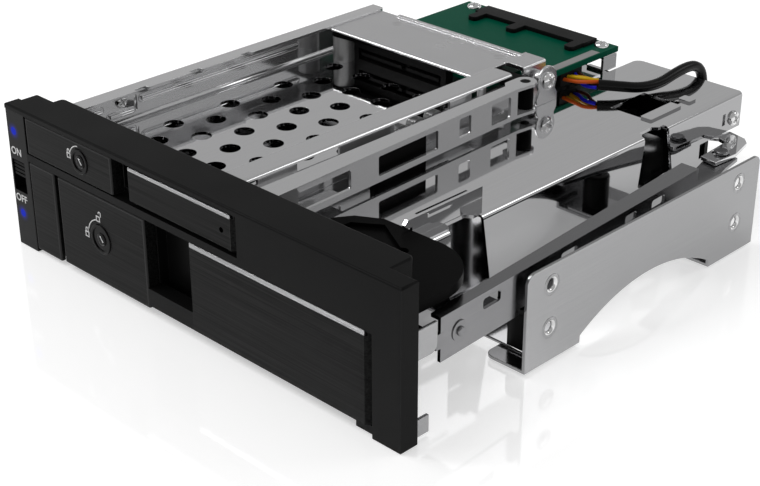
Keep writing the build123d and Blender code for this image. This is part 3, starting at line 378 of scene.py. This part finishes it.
# PVC sleeving: smooth and glossy, so a highlight runs along the cable.
sleeve_black = moulded_finish("sleeve_black_pvc", "#050505", 0.26, bite=0.05, shine=0.16)
# Lacquered lock barrel: a hard gloss without texture.
lock_gloss = moulded_finish("glossy_black_lock", "#030303", 0.18, bite=0.0, shine=0.08)
# Black anodised aluminium, brushed: fine grey lines across the door fronts.
brushed_black = brushed_finish("brushed_black_face", "#060606", "#242424", 0.42, 0.42, 0.2, 0.05)
# Bare aluminium, brushed: the bright line on each flap.
brushed_silver = brushed_finish("brushed_silver_trim", "#8e8e8f", "#adadae", 0.3, 0.3, 1.0, 0.5)
# Black solder mask on glass fibre: smooth and dull.
board_black = moulded_finish("black_solder_mask", "#0a0a0a", 0.4, bite=0.03)
print("materials so far:", len(bpy.data.materials))

# %% [markdown]
# ## Circuit board and lights
# A board is glass fibre under green solder mask, slightly uneven over its copper tracks. The
# tracks are drawn as a faint pattern of rows a few millimetres across. The two lights are clear
# blue pipes, and their light bleeds into the smoked strip round them.

# %% Board and lights
COPPER_CELL_MM = 1000 / 190


def board_finish(name, base, over_copper):
    """Solder mask: two greens and a low relief by a brick pattern, as the tracks lie under it."""
    made, tree, where = start_material(name)
    cells = add(tree, "ShaderNodeTexBrick", {
        "Vector": where,
        "Scale": 1 / (COPPER_CELL_MM * MM),
        "Mortar Size": 0.06,
        "Color1": (0, 0, 0, 1),
        "Color2": (0.25, 0.25, 0.25, 1),
    }, offset=0.37)
    shade = add(
        tree, "ShaderNodeMix",
        {0: cells.outputs[0], 6: linear(base), 7: linear(over_copper)}, data_type="RGBA",
    )
    bump = add(
        tree, "ShaderNodeBump",
        {"Height": cells.outputs[0], "Distance": 0.03 * MM, "Strength": 0.3},
    )
    shader = add(tree, "ShaderNodeBsdfPrincipled", {
        "Base Color": shade.outputs[2],
        "Roughness": 0.34,
        "IOR": 1.5,
        "Specular IOR Level": 0.02,
        "Normal": bump.outputs[0],
    })
    return end_material(made, tree, shader)


def light_finish(name, colour, core, power):
    """A light pipe: pale at its middle and deeper outward, by how squarely the eye meets the lens."""
    made, tree, _ = start_material(name)
    facing = add(tree, "ShaderNodeLayerWeight", {"Blend": 0.4}).outputs["Facing"]
    shade = add(
        tree, "ShaderNodeMix", {0: facing, 6: linear(core), 7: linear(colour)}, data_type="RGBA",
    )
    shader = add(tree, "ShaderNodeBsdfPrincipled", {
        "Base Color": linear(colour),
        "Roughness": 0.2,
        "Specular IOR Level": 0.02,
        "Emission Color": shade.outputs[2],
        "Emission Strength": power,
    })
    return end_material(made, tree, shader)


def glow_through(made, spots, reach_mm, colour, power):
    """Light that bleeds into smoked plastic: the sum over the spots of (1 - distance / reach)
    cubed, never below 0, times the power."""
    tree = made.node_tree
    shader = next(node for node in tree.nodes if node.type == "BSDF_PRINCIPLED")
    where = next(node for node in tree.nodes if node.type == "TEX_COORD").outputs["Object"]
    total = 0.0
    for spot in spots:
        gap = add(tree, "ShaderNodeVectorMath", {0: where, 1: tuple(place(*spot))}, operation="DISTANCE")
        near = add(tree, "ShaderNodeMapRange", {
            "Value": gap.outputs["Value"],
            "From Min": 0.0,
            "From Max": reach_mm * MM,
            "To Min": 1.0,
            "To Max": 0.0,
        })
        soft = add(tree, "ShaderNodeMath", {0: near.outputs[0], 1: 3.0}, operation="POWER")
        total = add(tree, "ShaderNodeMath", {0: total, 1: soft.outputs[0]}, operation="ADD").outputs[0]
    strength = add(tree, "ShaderNodeMath", {0: total, 1: power}, operation="MULTIPLY")
    tree.links.new(strength.outputs[0], shader.inputs["Emission Strength"])
    shader.inputs["Emission Color"].default_value = linear(colour)


light_spots = ((-71.0, 0, 34.6), (-70.8, 0, 10.1))
# Glass fibre under green mask: dark green with hardly any gloss.
solder_mask = board_finish("green_solder_mask", "#004a37", "#005540")
# Clear acrylic pipe lit from behind: royal blue, brighter at its middle.
blue_light = light_finish("blue_light_pipe", "#0a148c", "#2a46e8", 0.45)
glow_through(smoked_strip, light_spots, 3.2, "#1622c8", 1.1)
# Pad-printed ink: flat off-white.
white_ink = moulded_finish("white_ink", "#dcdcdc", 0.6)
# Glass fibre with its mask left off: flat pale grey.
bare_laminate = moulded_finish("bare_laminate", "#8f8f8e", 0.5)
print("materials in all:", len(bpy.data.materials))

# %% Finishes for the CAD pieces
dress(polished_steel, "board_legs", "ejector_lever35", "board_brackets", "rear_bracket")
dress(folded_steel, "bay_plate", "base_tray", "plate_tabs")
dress(left_wall_steel, "cage25_left_wall")
dress(bright_sheet, "cage25_right_wall", "slider_bar")
dress(satin_steel, "side_bracket_right", "side_bracket_left", "bezel_bracket_right", "bezel_bracket_left")
dress(rod_steel, "pull_rod", "rod_plate")
dress(satin_cover, "backplane_cover", "link_plate")
dress(nickel_screw, "link_screw", "board_screws", "wall_screw")
dress(turned_steel, "door25_hinge_pin", "door35_hinge_pin", "lever25_post", "lever35_post")
dress(turned_steel, "bearing_rollers")
dress(moulded_black, "bezel_frame", "door25_carrier", "door35_carrier", "switch_housing", "power_switch")
dress(smoked_strip, "indicator_strip")
dress(cover_black, "hinge_cover", "ejector_lever25", "bar_guide")
dress(deep_black, "sata25_connector", "board_header", "wire_plug", "cable_plug", "sata35_connector")
dress(post_rubber, "spacer_posts_right", "spacer_posts_left")
dress(sleeve_black, "cable_sleeve", "wires")
dress(brushed_black, "side_panel", "door25_block", "door25_flap", "door35_block", "door35_flap")
dress(brushed_silver, "door25_trim", "door35_trim")
dress(lock_gloss, "door25_lock", "door35_lock", "door25_lock_ring", "door35_lock_ring")
dress(solder_mask, "indicator_board", "main_board")
dress(board_black, "backplane35_board")
dress(blue_light, "led_lenses")
print("CAD pieces without a finish:", [name for name in nodes if not nodes[name].data.materials])

# %% [markdown]
# ## Surfaces from two parameters
# Every added piece is a grid of points worked out at once from two parameters, in millimetres
# from the face. One helper turns such a grid into a mesh. The grid closes on itself, as round a
# tube: its last column is joined to its first. Points that meet are welded, so no seam is open.

# %% Grid to mesh


def put(name, data, body):
    """Makes an object of a mesh or a curve, adds it to the scene and lets it ride on a body."""
    piece = bpy.data.objects.new(name, data)
    bpy.context.collection.objects.link(piece)
    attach(piece, body)
    return piece


def weld(mesh):
    """Joins points that lie on each other, so that seams are closed, and turns every face outward."""
    form = bmesh.new()
    form.from_mesh(mesh)
    bmesh.ops.remove_doubles(form, verts=form.verts, dist=1e-7)
    bmesh.ops.recalc_face_normals(form, faces=form.faces)
    form.to_mesh(mesh)
    form.free()


def surface(name, grid, finish, body, ends=True):
    """Joins a (rows, columns, 3) grid of points into quads, all the way round, and closes its ends."""
    rows, columns, _ = grid.shape
    row, column = np.meshgrid(np.arange(rows - 1), np.arange(columns), indexing="ij")
    after = (column + 1) % columns
    here, ahead = row * columns, (row + 1) * columns
    quads = np.stack([here + column, here + after, ahead + after, ahead + column], axis=-1)
    faces = quads.reshape(-1, 4).tolist()
    if ends:
        faces.append(list(range(columns - 1, -1, -1)))
        faces.append(list(range((rows - 1) * columns, rows * columns)))
    mesh = bpy.data.meshes.new(name)
    mesh.from_pydata((grid * MM + place(0, 0, 0)).reshape(-1, 3).tolist(), [], faces)
    mesh.polygons.foreach_set("use_smooth", [len(face) == 4 for face in faces])
    mesh.materials.append(finish)
    weld(mesh)
    mesh.update()
    return put(name, mesh, body)


# %% [markdown]
# ## Eased edges
# Real sheet has rounded edges: a punch or a folding tool never leaves a corner sharp, and moulded
# plastic has a small radius on every edge. Such an edge catches the light as a thin bright line,
# and the photograph is full of them. The CAD solids have sharp edges there. A copy of such a piece
# has its loose triangles joined to flat faces first, so that a Bevel modifier finds only true
# edges, and then stands for the CAD piece.

# %% Bevelled copies
SHARP_DEGREES = 32
FLAT_DEGREES = 0.8


def eased(node, width_mm, segments=2, edge=None):
    """A copy of a CAD piece with its sharp edges rounded. The rounded edges may take a colour of their own,
    such as a lighter grey that paints a highlight on them.
    """
    source = nodes[node]
    form = bmesh.new()
    form.from_mesh(source.data)
    bmesh.ops.remove_doubles(form, verts=form.verts, dist=2e-6)
    flat = np.radians(FLAT_DEGREES)
    bmesh.ops.dissolve_limit(form, angle_limit=flat, verts=form.verts, edges=form.edges)
    mesh = bpy.data.meshes.new(node + "_eased")
    form.to_mesh(mesh)
    form.free()
    stale = ("custom_normal", "sharp_edge", "sharp_face")
    for old in [found.name for found in mesh.attributes if found.name in stale]:
        mesh.attributes.remove(mesh.attributes[old])
    mesh.polygons.foreach_set("use_smooth", [True] * len(mesh.polygons))
    mesh.materials.append(source.data.materials[0])
    piece = put(node + "_eased", mesh, source["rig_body"])
    bevel = piece.modifiers.new("eased_edges", "BEVEL")
    bevel.width = width_mm * MM
    bevel.segments = segments
    bevel.limit_method = "ANGLE"
    bevel.angle_limit = np.radians(SHARP_DEGREES)
    bevel.use_clamp_overlap = True
    if edge:
        mesh.materials.append(edge)
        bevel.material = 1
    weigh = piece.modifiers.new("flat_faces_stay_flat", "WEIGHTED_NORMAL")
    weigh.keep_sharp = True
    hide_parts(node)


# Wide radii where sheet is folded or cut, small ones on moulded fronts and fittings.
for node in (
    "bay_plate", "cage25_left_wall", "cage25_right_wall", "slider_bar", "pull_rod",
    "backplane_cover", "side_bracket_right", "side_bracket_left", "base_tray",
):
    eased(node, 0.3, segments=3)
# Moulded fronts and door faces get a lighter grey on their rounded edges: a painted highlight.
for node in ("bezel_frame", "door25_carrier", "door35_carrier"):
    eased(node, 0.3, edge=painted_edge_highlight)
for node in ("door25_block", "door25_flap", "door35_block", "door35_flap", "side_panel"):
    eased(node, 0.2, edge=painted_edge_highlight)
for node in (
    "bezel_bracket_right", "bezel_bracket_left", "rod_plate", "board_legs", "main_board",
    "board_header", "spacer_posts_right", "spacer_posts_left", "ejector_lever35", "hinge_cover",
    "door25_trim", "door35_trim",
):
    eased(node, 0.15)

# %% [markdown]
# ## Printed marks
# The words beside the switch and the padlocks round the locks are white ink on the face. Ink has
# almost no height, so each mark stands a few hundredths of a millimetre proud. An arc is a flat
# strip: the angle and the distance from the lock's centre are its two parameters.

# %% Words beside the switch
INK = 0.03
EM_PER_CAPITAL = 1.4
strip_middle, capital_mm = -70.7, 2.15


def word(name, text, z):
    """A word in the front plane of the strip, centred on its middle and on z."""
    letters = bpy.data.curves.new(name, "FONT")
    letters.body = text
    letters.size = capital_mm * MM * EM_PER_CAPITAL
    letters.align_x = "CENTER"
    letters.align_y = "CENTER"
    letters.extrude = INK * MM / 2
    letters.offset = 0.05 * MM
    drawn = bpy.data.objects.new(name, letters)
    mesh = bpy.data.meshes.new_from_object(drawn)
    bpy.data.objects.remove(drawn)
    upright = Matrix.Rotation(np.pi / 2, 4, "X")
    mesh.transform(Matrix.Translation(place(strip_middle, -INK / 2, z)) @ upright)
    weld(mesh)
    mesh.materials.clear()
    mesh.materials.append(white_ink)
    put(name, mesh, "frame")


word("word_on", "ON", 28.6)
word("word_off", "OFF", 14.5)
print("words: ON, OFF")


# %% Arcs and padlocks round the locks


def front_strip(name, inner, outer, body):
    """A thin plate between two lines in the front plane: across from inner to outer, then back
    behind. Lines that end where they start make a ring, which has no ends."""
    edges = ((inner, 0.0), (inner, -INK), (outer, -INK), (outer, 0.0))
    columns = [np.column_stack([line[:, 0], np.full(len(line), y), line[:, 1]]) for line, y in edges]
    ring = np.allclose(inner[0], inner[-1])
    surface(name, np.stack(columns, axis=1), white_ink, body, ends=not ring)


def arc_line(centre, radius, start, end, count=24):
    """Points at one radius between two angles in degrees, measured from X towards Z."""
    angle = np.radians(np.linspace(start, end, count))
    return np.column_stack([centre[0] + radius * np.cos(angle), centre[1] + radius * np.sin(angle)])


def padlock(name, centre, size, is_open, body):
    """A padlock seen as lines: a square outline, and a shackle that is half a ring on two legs.
    The shackle of an open one stands aside and higher, with one leg short."""
    half, line = size / 2, 0.34
    square = arc_line((0, 0), np.sqrt(2), 45, 405, 5)
    front_strip(name + "_case", centre + square * (half - line), centre + square * half, body)
    seat = centre[1] + half
    top = (centre[0] + half * (0.9 if is_open else 0.0), seat + half * (1.0 if is_open else 0.7))
    free_end = top[1] - half * 0.2 if is_open else seat
    inner, outer = (
        np.vstack([[[top[0] + r, seat]], arc_line(top, r, 0, 180, 12), [[top[0] - r, free_end]]])
        for r in (half * 0.75 - line, half * 0.75)
    )
    front_strip(name + "_shackle", inner, outer, body)


lock25 = (-41.0, 35.0)
lock35 = (-34.4, 14.9)
front_strip("arc25", arc_line(lock25, 4.0, 95, 165), arc_line(lock25, 4.3, 95, 165), "door25")
padlock("padlock25", (-45.6, 35.4), 1.6, False, "door25")
front_strip("arc35", arc_line(lock35, 5.2, 105, 165), arc_line(lock35, 5.5, 105, 165), "door35")
padlock("padlock35_shut", (-40.4, 14.4), 1.7, False, "door35")
padlock("padlock35_open", (-35.0, 20.6), 1.7, True, "door35")

# %% [markdown]
# ## The cable and its wires
# Five thin wires leave the plug under the board and gather in a black sleeve. The sleeve lies on
# the plate, rises over its rear edge and goes down to the plug of the lower board. A cable bends
# evenly, so its line is one NURBS spline of order 3: the route's points pull on it, and it has no
# corner. The order is set after the points are added, because a new spline of fewer points would
# keep order 2, which is straight runs.

# %% A cable from its route


def cable(name, points, radius_mm, finish):
    """A round cable: a NURBS spline whose control points are the route's, thickened to the radius."""
    line = bpy.data.curves.new(name, "CURVE")
    line.dimensions = "3D"
    line.resolution_u = 10
    line.bevel_depth = radius_mm * MM
    line.bevel_resolution = 5
    line.use_fill_caps = True
    spline = line.splines.new("NURBS")
    spline.points.add(len(points) - 1)
    for control, point in zip(spline.points, points):
        control.co = (*place(*point), 1.0)
    spline.order_u = 3
    spline.use_endpoint_u = True
    line.materials.append(finish)
    return put(name, line, "frame")


# %% Sleeve
sleeve_route = (
    (18.0, 141.0, 32.6), (22.7, 144.5, 32.4), (26.6, 150.0, 31.4), (28.6, 156.5, 31.5),
    (29.0, 163.0, 32.8), (29.3, 168.6, 33.4), (29.7, 172.6, 33.1), (30.3, 175.4, 31.0),
    (31.0, 175.8, 26.0), (31.8, 175.8, 20.5), (32.4, 174.8, 15.2), (33.0, 171.8, 10.4),
    (33.0, 166.2, 10.4),
)
sleeve_radius = 1.6
sleeve = cable("sleeve", sleeve_route, sleeve_radius, sleeve_black)
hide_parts("cable_sleeve")
print("sleeve points:", len(sleeve_route))

# %% Wires
wire_routes = {
    "orange": ("#c4541a", (7.6, 138.2, 32.2), (11.5, 138.2, 32.5), (15.6, 138.7, 33.4), (17.6, 141.4, 33.3)),
    "yellow": ("#c9a414", (7.6, 139.9, 32.6), (11.5, 139.9, 33.3), (15.4, 140.0, 33.9), (17.4, 141.9, 33.5)),
    "amber": ("#b98c10", (7.6, 141.6, 32.2), (11.5, 141.6, 33.0), (15.0, 141.4, 33.4), (17.6, 141.6, 33.0)),
    "blue": ("#1a1ab4", (7.6, 143.3, 32.5), (10.5, 142.0, 31.4), (14.6, 139.0, 31.6), (17.9, 140.4, 31.8)),
    "brown": ("#4b2a1c", (7.6, 145.0, 32.2), (11.5, 144.6, 31.6), (15.4, 141.6, 32.0), (17.8, 141.2, 32.2)),
}
wire_radius = 0.55
for colour_name, (colour, *points) in wire_routes.items():
    # PVC insulation: smooth, in its own colour.
    insulation = moulded_finish("wire_insulation_" + colour_name, colour, 0.36, bite=0.03)
    cable("wire_" + colour_name, points, wire_radius, insulation)
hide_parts("wires")

# %% [markdown]
# ## Locks
# Each lock is a glossy black barrel in a rounded ring. A key slot shines at its middle, because
# its steel shutter shows. Anything turned on a lathe is a profile carried round an axis: its two
# parameters are the place along the profile and the angle.

# %% Turned pieces
TURN_STEPS = 40


def turned(name, profile, centre, finish, body, axis="y"):
    """Carries a profile of radius r and height h round an axis: r cos a and r sin a across it, and
    h along it. A profile that ends away from the axis is led back to its first point, as a ring."""
    profile = np.array(profile, dtype=float)
    solid = profile[-1, 0] < 0.2
    radius, height = (profile if solid else np.vstack([profile, profile[:1]])).T
    angle = np.linspace(0, 2 * np.pi, TURN_STEPS, endpoint=False)
    u = radius[:, None] * np.cos(angle)
    v = radius[:, None] * np.sin(angle)
    h = np.repeat(height[:, None], TURN_STEPS, axis=1)
    grid = np.stack((h, u, v) if axis == "x" else (v, h, u), axis=-1)
    surface(name, grid + centre, finish, body, ends=solid)


def lip_profile(inner, outer, proud):
    """Profile of a rounded ring on a plane: half an ellipse from the outer to the inner radius,
    then down into the plane inside and outside."""
    turn = np.linspace(0, np.pi, 9)
    middle, reach = (inner + outer) / 2, (outer - inner) / 2
    arch = np.column_stack([middle + reach * np.cos(turn), -proud * np.sin(turn)])
    return np.vstack([arch, [[inner, 0.4], [outer - 0.02, 0.4]]])


def shutter(name, middle, along, half_width, body):
    """The steel shutter behind a key slot: a strip on the face, a little proud of the hub."""
    side = np.array([-along[1], along[0]]) * half_width
    low, high = middle - along, middle + along
    corners = np.array([low - side, low + side, high + side, high - side])
    rows = [np.column_stack([corners[:, 0], np.full(4, y), corners[:, 1]]) for y in (-0.1, -0.3)]
    surface(name, np.stack(rows), bright_sheet, body)


lip_width, lip_proud = 0.95, 0.28
hub = ((1.9, 0.3), (1.9, -0.1), (1.75, -0.2), (1.1, -0.24), (0.05, -0.24))
slot_lean = np.radians(-52)
slot = np.array([np.cos(slot_lean), np.sin(slot_lean)])
for tag, (x, z), radius in (("25", lock25, 3.5), ("35", lock35, 4.2)):
    lip = lip_profile(radius - lip_width, radius, lip_proud)
    turned("lock_lip" + tag, lip, (x, -0.02, z), lock_gloss, "door" + tag)
    lock_body = nodes["door" + tag + "_lock"]["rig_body"]
    turned("lock_hub" + tag, hub, (x + 0.3, 0.0, z), lock_gloss, lock_body)
    shutter("lock_shutter" + tag, np.array([x + 0.5, z + 0.2]), slot, 0.14, lock_body)
print("locks:", lock25, lock35)

# %% [markdown]
# ## Screws
# The screws are nickel-plated pan heads with a cross recess. The head is one surface: its height
# is a shallow dome over the radius, and a cross is pressed into it where either distance from the
# middle lines is small.

# %% Pan heads
CROSS_TILT = 0.5


def pan_head(name, centre, radius, height, axis):
    """Height h(r, a) = H sqrt(1 - (r / R)^3), less a cross: depth times the larger of two bumps."""
    r = radius * np.linspace(0.02, 1, 26) ** 0.8
    a = np.linspace(0, 2 * np.pi, 64, endpoint=False)
    u, v = r[:, None] * np.cos(a), r[:, None] * np.sin(a)
    across = u * np.cos(CROSS_TILT) + v * np.sin(CROSS_TILT)
    along = v * np.cos(CROSS_TILT) - u * np.sin(CROSS_TILT)
    arm = np.exp(-(np.minimum(abs(across), abs(along)) / (0.13 * radius)) ** 4)
    reach = np.clip((0.68 * radius - r[:, None]) / (0.15 * radius), 0, 1)
    dome = np.sqrt(np.clip(1 - (r[:, None] / radius) ** 3, 0, 1))
    h = height * dome - 0.75 * height * arm * reach
    foot = np.stack([u[-1], v[-1], np.full(len(a), -0.3)], axis=-1)
    grid = np.concatenate([np.stack([u, v, h], axis=-1), foot[None]])
    if axis == "x":
        grid = grid[..., [2, 0, 1]]
    return surface(name, grid + centre, nickel_screw, "frame")


link_y, link_z, link_face = 126.1, 36.1, 11.1
board_screw_y, board_top = 160.0, 36.0
wall_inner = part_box("cage25_left_wall")[0][0] / MM + 0.9
for name, centre, radius, height, axis, node in (
    ("link_pan_head", (link_face, link_y, link_z), 2.6, 1.5, "x", "link_screw"),
    ("wall_pan_head", (46.7, 169.0, 22.1), 2.3, 1.4, "x", "wall_screw"),
    ("board_pan_head_right", (4.2, board_screw_y, board_top), 2.3, 1.3, "z", "board_screws"),
    ("board_pan_head_left", (-47.2, board_screw_y, board_top), 2.3, 1.3, "z", None),
    ("cage_pan_head", (wall_inner, 31.2, 35.8), 1.9, 1.1, "x", None),
):
    head = pan_head(name, centre, radius, height, axis)
    if node:
        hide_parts(node)

# %% Countersinks of the side plates
rim = ((2.85, -0.25), (2.85, 0.02), (2.05, 0.02), (2.0, -0.3))
sink = ((2.05, -0.3), (2.05, 0.03), (1.9, 0.0), (1.35, -0.45), (1.3, -0.8))
side_face = 73.0
hole_rows, hole_levels = (53.0, 132.25), (10.1, 21.94)
for side, way in (("right", 1), ("left", -1)):
    for row, y in enumerate(hole_rows):
        for level, z in enumerate(hole_levels):
            tag = f"_{side}_{row}{level}"
            for part, shape, finish in (("rim", rim, satin_steel), ("sink", sink, nickel_screw)):
                ring = [(r, way * h) for r, h in shape]
                turned("counter" + part + tag, ring, (way * side_face, y, z), finish, "frame", "x")
print("countersinks:", 2 * len(hole_rows) * len(hole_levels))

# %% [markdown]
# ## Link plate
# An upright plate with a round head ties the cover to the deck. It is bent from satin sheet. Its
# outline is a head arc that runs into a narrower waist and a wide foot, and the sheet's edges are
# slightly rounded.

# %% Plate with a round head
deck = 29.3
head_radius, waist_half, foot_half = 4.2, 3.5, 4.5
waist_z, foot_top = 33.0, 31.4
link_back, link_ease = 10.1, 0.15

head_line = arc_line((link_y, link_z + 0.2), head_radius, -28, 208, 28)
foot_line = [
    (link_y - waist_half, waist_z), (link_y - foot_half, foot_top), (link_y - foot_half, deck),
    (link_y + foot_half, deck), (link_y + foot_half, foot_top), (link_y + waist_half, waist_z),
]
outline = np.vstack([head_line, foot_line])
middle = outline.mean(axis=0)
inward = (middle - outline) / np.linalg.norm(middle - outline, axis=1, keepdims=True) * link_ease
link_rows = (
    (link_back, outline + inward), (link_back + link_ease, outline),
    (link_face - link_ease, outline), (link_face, outline + inward),
)
link_grid = np.stack([np.column_stack([np.full(len(line), x), line]) for x, line in link_rows])
link = surface("link_plate_round", link_grid, satin_cover, "frame")
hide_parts("link_plate")
spacer = ((2.2, 0.2), (2.2, -4.2), (0.1, -4.3))
turned("link_spacer", spacer, (link_back, link_y, link_z), satin_cover, "frame", "x")
print("link plate points:", len(outline))

# %% [markdown]
# ## Small marks of the maker's work
# Pressed ribs of the left wall, its bend into the deck, the release hole of the upper door and
# the bare strip on the board. A rib's edge is a thin half-sunk bead that follows a long ring with
# round ends.

# %% Beads round the ribs


def bead(name, low, high, z, half_height, radius=0.16):
    """A thin tube round a long ring between two Y: half turns at its ends and straight sides."""
    turn = np.linspace(np.pi / 2, 3 * np.pi / 2, 10)
    left = np.column_stack([low + half_height * np.cos(turn), z + half_height * np.sin(turn)])
    right = np.column_stack([high - half_height * np.cos(turn), z - half_height * np.sin(turn)])
    path = np.vstack([left, right])
    ahead = np.roll(path, -1, axis=0) - np.roll(path, 1, axis=0)
    ahead /= np.linalg.norm(ahead, axis=1, keepdims=True)
    outward = np.column_stack([ahead[:, 1], -ahead[:, 0]])
    angle = np.linspace(0, 2 * np.pi, 8, endpoint=False)[:, None, None]
    flat = path + radius * np.cos(angle) * outward
    height = wall_inner + radius * np.sin(angle) * np.ones((1, len(path), 1))
    grid = np.concatenate([height, flat], axis=-1)
    surface(name, np.concatenate([grid, grid[:1]]), bright_sheet, "frame", ends=False)


ribs = ((38.6, 97.5, 34.9, 1.25), (27.0, 35.0, 32.2, 1.0), (16.4, 24.0, 35.0, 1.2))
for number, rib in enumerate(ribs):
    bead("rib_bead_" + str(number), *rib)
print("rib beads:", len(ribs))

# %% Bend of the wall, notch backing, bare strip and release hole
bend_radius, wall_run = 1.3, (12.5, 131.0)
corner = np.radians(np.linspace(180, 270, 8))
bend = np.column_stack([
    wall_inner + bend_radius + bend_radius * np.cos(corner),
    deck + bend_radius + bend_radius * np.sin(corner),
])
profile = np.vstack([bend, [[wall_inner - 0.05, deck - 0.05]]])
rows = [np.column_stack([profile[:, 0], np.full(len(profile), y), profile[:, 1]]) for y in wall_run]
surface("wall_bend", np.stack(rows), left_wall_steel, "frame")


def tile(name, x, y, z, finish, ease=0.05):
    """A thin tile between two X, two Y and two Z values, its upper edges drawn in a little."""
    plan = np.array([(x[0], y[0]), (x[1], y[0]), (x[1], y[1]), (x[0], y[1])])
    inner = plan + np.array([(ease, ease), (-ease, ease), (-ease, -ease), (ease, -ease)])
    levels = [(z[0], plan), (z[1] - ease / 2, plan), (z[1], inner)]
    grid = np.stack([np.column_stack([line, np.full(4, level)]) for level, line in levels])
    surface(name, grid, finish, "frame")


notch_x = (wall_inner - 0.8, wall_inner - 0.2)
tile("notch_backing", notch_x, (35.5, 37.1), (31.8, 37.4), bright_sheet)
strip_z = (board_top - 0.02, board_top + 0.08)
tile("bare_strip", (4.5, 7.5), (133.0, 155.0), strip_z, bare_laminate)
# The release hole is a black disc proud of the door's face: painted shade where the hole is dark.
release_place = (15.3, 0.0, 35.2)
release_hole_shade = ((0.7, 0.2), (0.7, -0.02), (0.05, -0.02))
turned("release_hole_shade", release_hole_shade, release_place, painted_hole_shade, "door25")
print("small marks: bend, notch backing, bare strip, release hole")

# %% [markdown]
# ## The studio
# A mirror shows the room, so the room decides how bright the steel looks. The sky here is white
# along the horizon and a middle grey above, the same for every kind of ray: upward faces of the
# steel show the grey. The floor is white paper under a thin clear coat. A white floor lit only as
# strongly as the object looks grey, so to the eye, and in mirrors, it also gives off a little
# light of its own. It keeps shadows and the reflection.

# %% Floor
floor_half = 3.0
floor_level = cad_box[0][2] - 0.0002
floor_glow, coat_share = 0.58, 0.2

floor_corners = [
    (side * floor_half, end * floor_half, floor_level)
    for side, end in ((-1, -1), (1, -1), (1, 1), (-1, 1))
]
floor_mesh = bpy.data.meshes.new("floor")
floor_mesh.from_pydata(floor_corners, [], [(0, 1, 2, 3)])
floor = bpy.data.objects.new("floor", floor_mesh)
bpy.context.collection.objects.link(floor)

made, tree, _ = start_material("white_floor")
ray = add(tree, "ShaderNodeLightPath").outputs
seen = add(
    tree, "ShaderNodeMath",
    {0: ray["Is Camera Ray"], 1: ray["Is Glossy Ray"]}, operation="MAXIMUM",
)
seen = add(
    tree, "ShaderNodeMath",
    {0: seen.outputs[0], 1: ray["Is Transmission Ray"]}, operation="MAXIMUM",
)
lift = add(tree, "ShaderNodeMath", {0: seen.outputs[0], 1: floor_glow}, operation="MULTIPLY")
paper = add(tree, "ShaderNodeBsdfDiffuse", {"Color": linear("#f4f4f4")})
glow = add(tree, "ShaderNodeEmission", {"Color": (1, 1, 1, 1), "Strength": lift.outputs[0]})
lit = add(tree, "ShaderNodeAddShader", {0: paper.outputs[0], 1: glow.outputs[0]})
coat = add(tree, "ShaderNodeBsdfGlossy", {"Color": (1, 1, 1, 1), "Roughness": 0.06})
coated = add(tree, "ShaderNodeMixShader", {0: coat_share, 1: lit.outputs[0], 2: coat.outputs[0]})
floor_mesh.materials.append(end_material(made, tree, coated))
print("floor at z =", round(float(floor_level), 5))

# %% World and lamps
SKY_GREY = 0.45
HORIZON_TOP, GREY_FROM = 0.05, 0.25

world = bpy.data.worlds.new("studio")
world.use_nodes = True
bpy.context.scene.world = world
sky = world.node_tree
sky.nodes.clear()
direction = add(sky, "ShaderNodeTexCoord").outputs["Generated"]
height = add(sky, "ShaderNodeSeparateXYZ", {0: direction}).outputs[2]
ramp = add(sky, "ShaderNodeValToRGB", {0: height})
white_stop, grey_stop = ramp.color_ramp.elements
white_stop.position, white_stop.color = HORIZON_TOP, (1, 1, 1, 1)
grey_stop.position, grey_stop.color = GREY_FROM, (SKY_GREY, SKY_GREY, SKY_GREY, 1)
room = add(sky, "ShaderNodeBackground", {"Color": ramp.outputs[0], "Strength": 1.0})
add(sky, "ShaderNodeOutputWorld", {"Surface": room.outputs[0]})


def lamp(name, direction_to, distance, size, radiance):
    """A square soft lamp aimed at the object. Its power is its radiance times pi times its area."""
    data = bpy.data.lights.new(name, "AREA")
    data.shape = "SQUARE"
    data.size = size
    data.energy = radiance * np.pi * size ** 2
    made_lamp = bpy.data.objects.new(name, data)
    spot = Vector(direction_to).normalized() * distance
    aim = (-spot).to_track_quat("-Z", "Y").to_matrix().to_4x4()
    made_lamp.matrix_world = Matrix.Translation(spot) @ aim
    bpy.context.collection.objects.link(made_lamp)


lamp("key", (-0.45, -0.35, 1.0), 1.3, 0.8, 2.2)
lamp("fold_light", (0.46, 0.63, 0.63), 1.6, 0.5, 2.2)
lamp("edge_light", (-0.63, -0.46, 0.63), 1.5, 0.2, 22.0)
print("lamps:", len(bpy.data.lights))
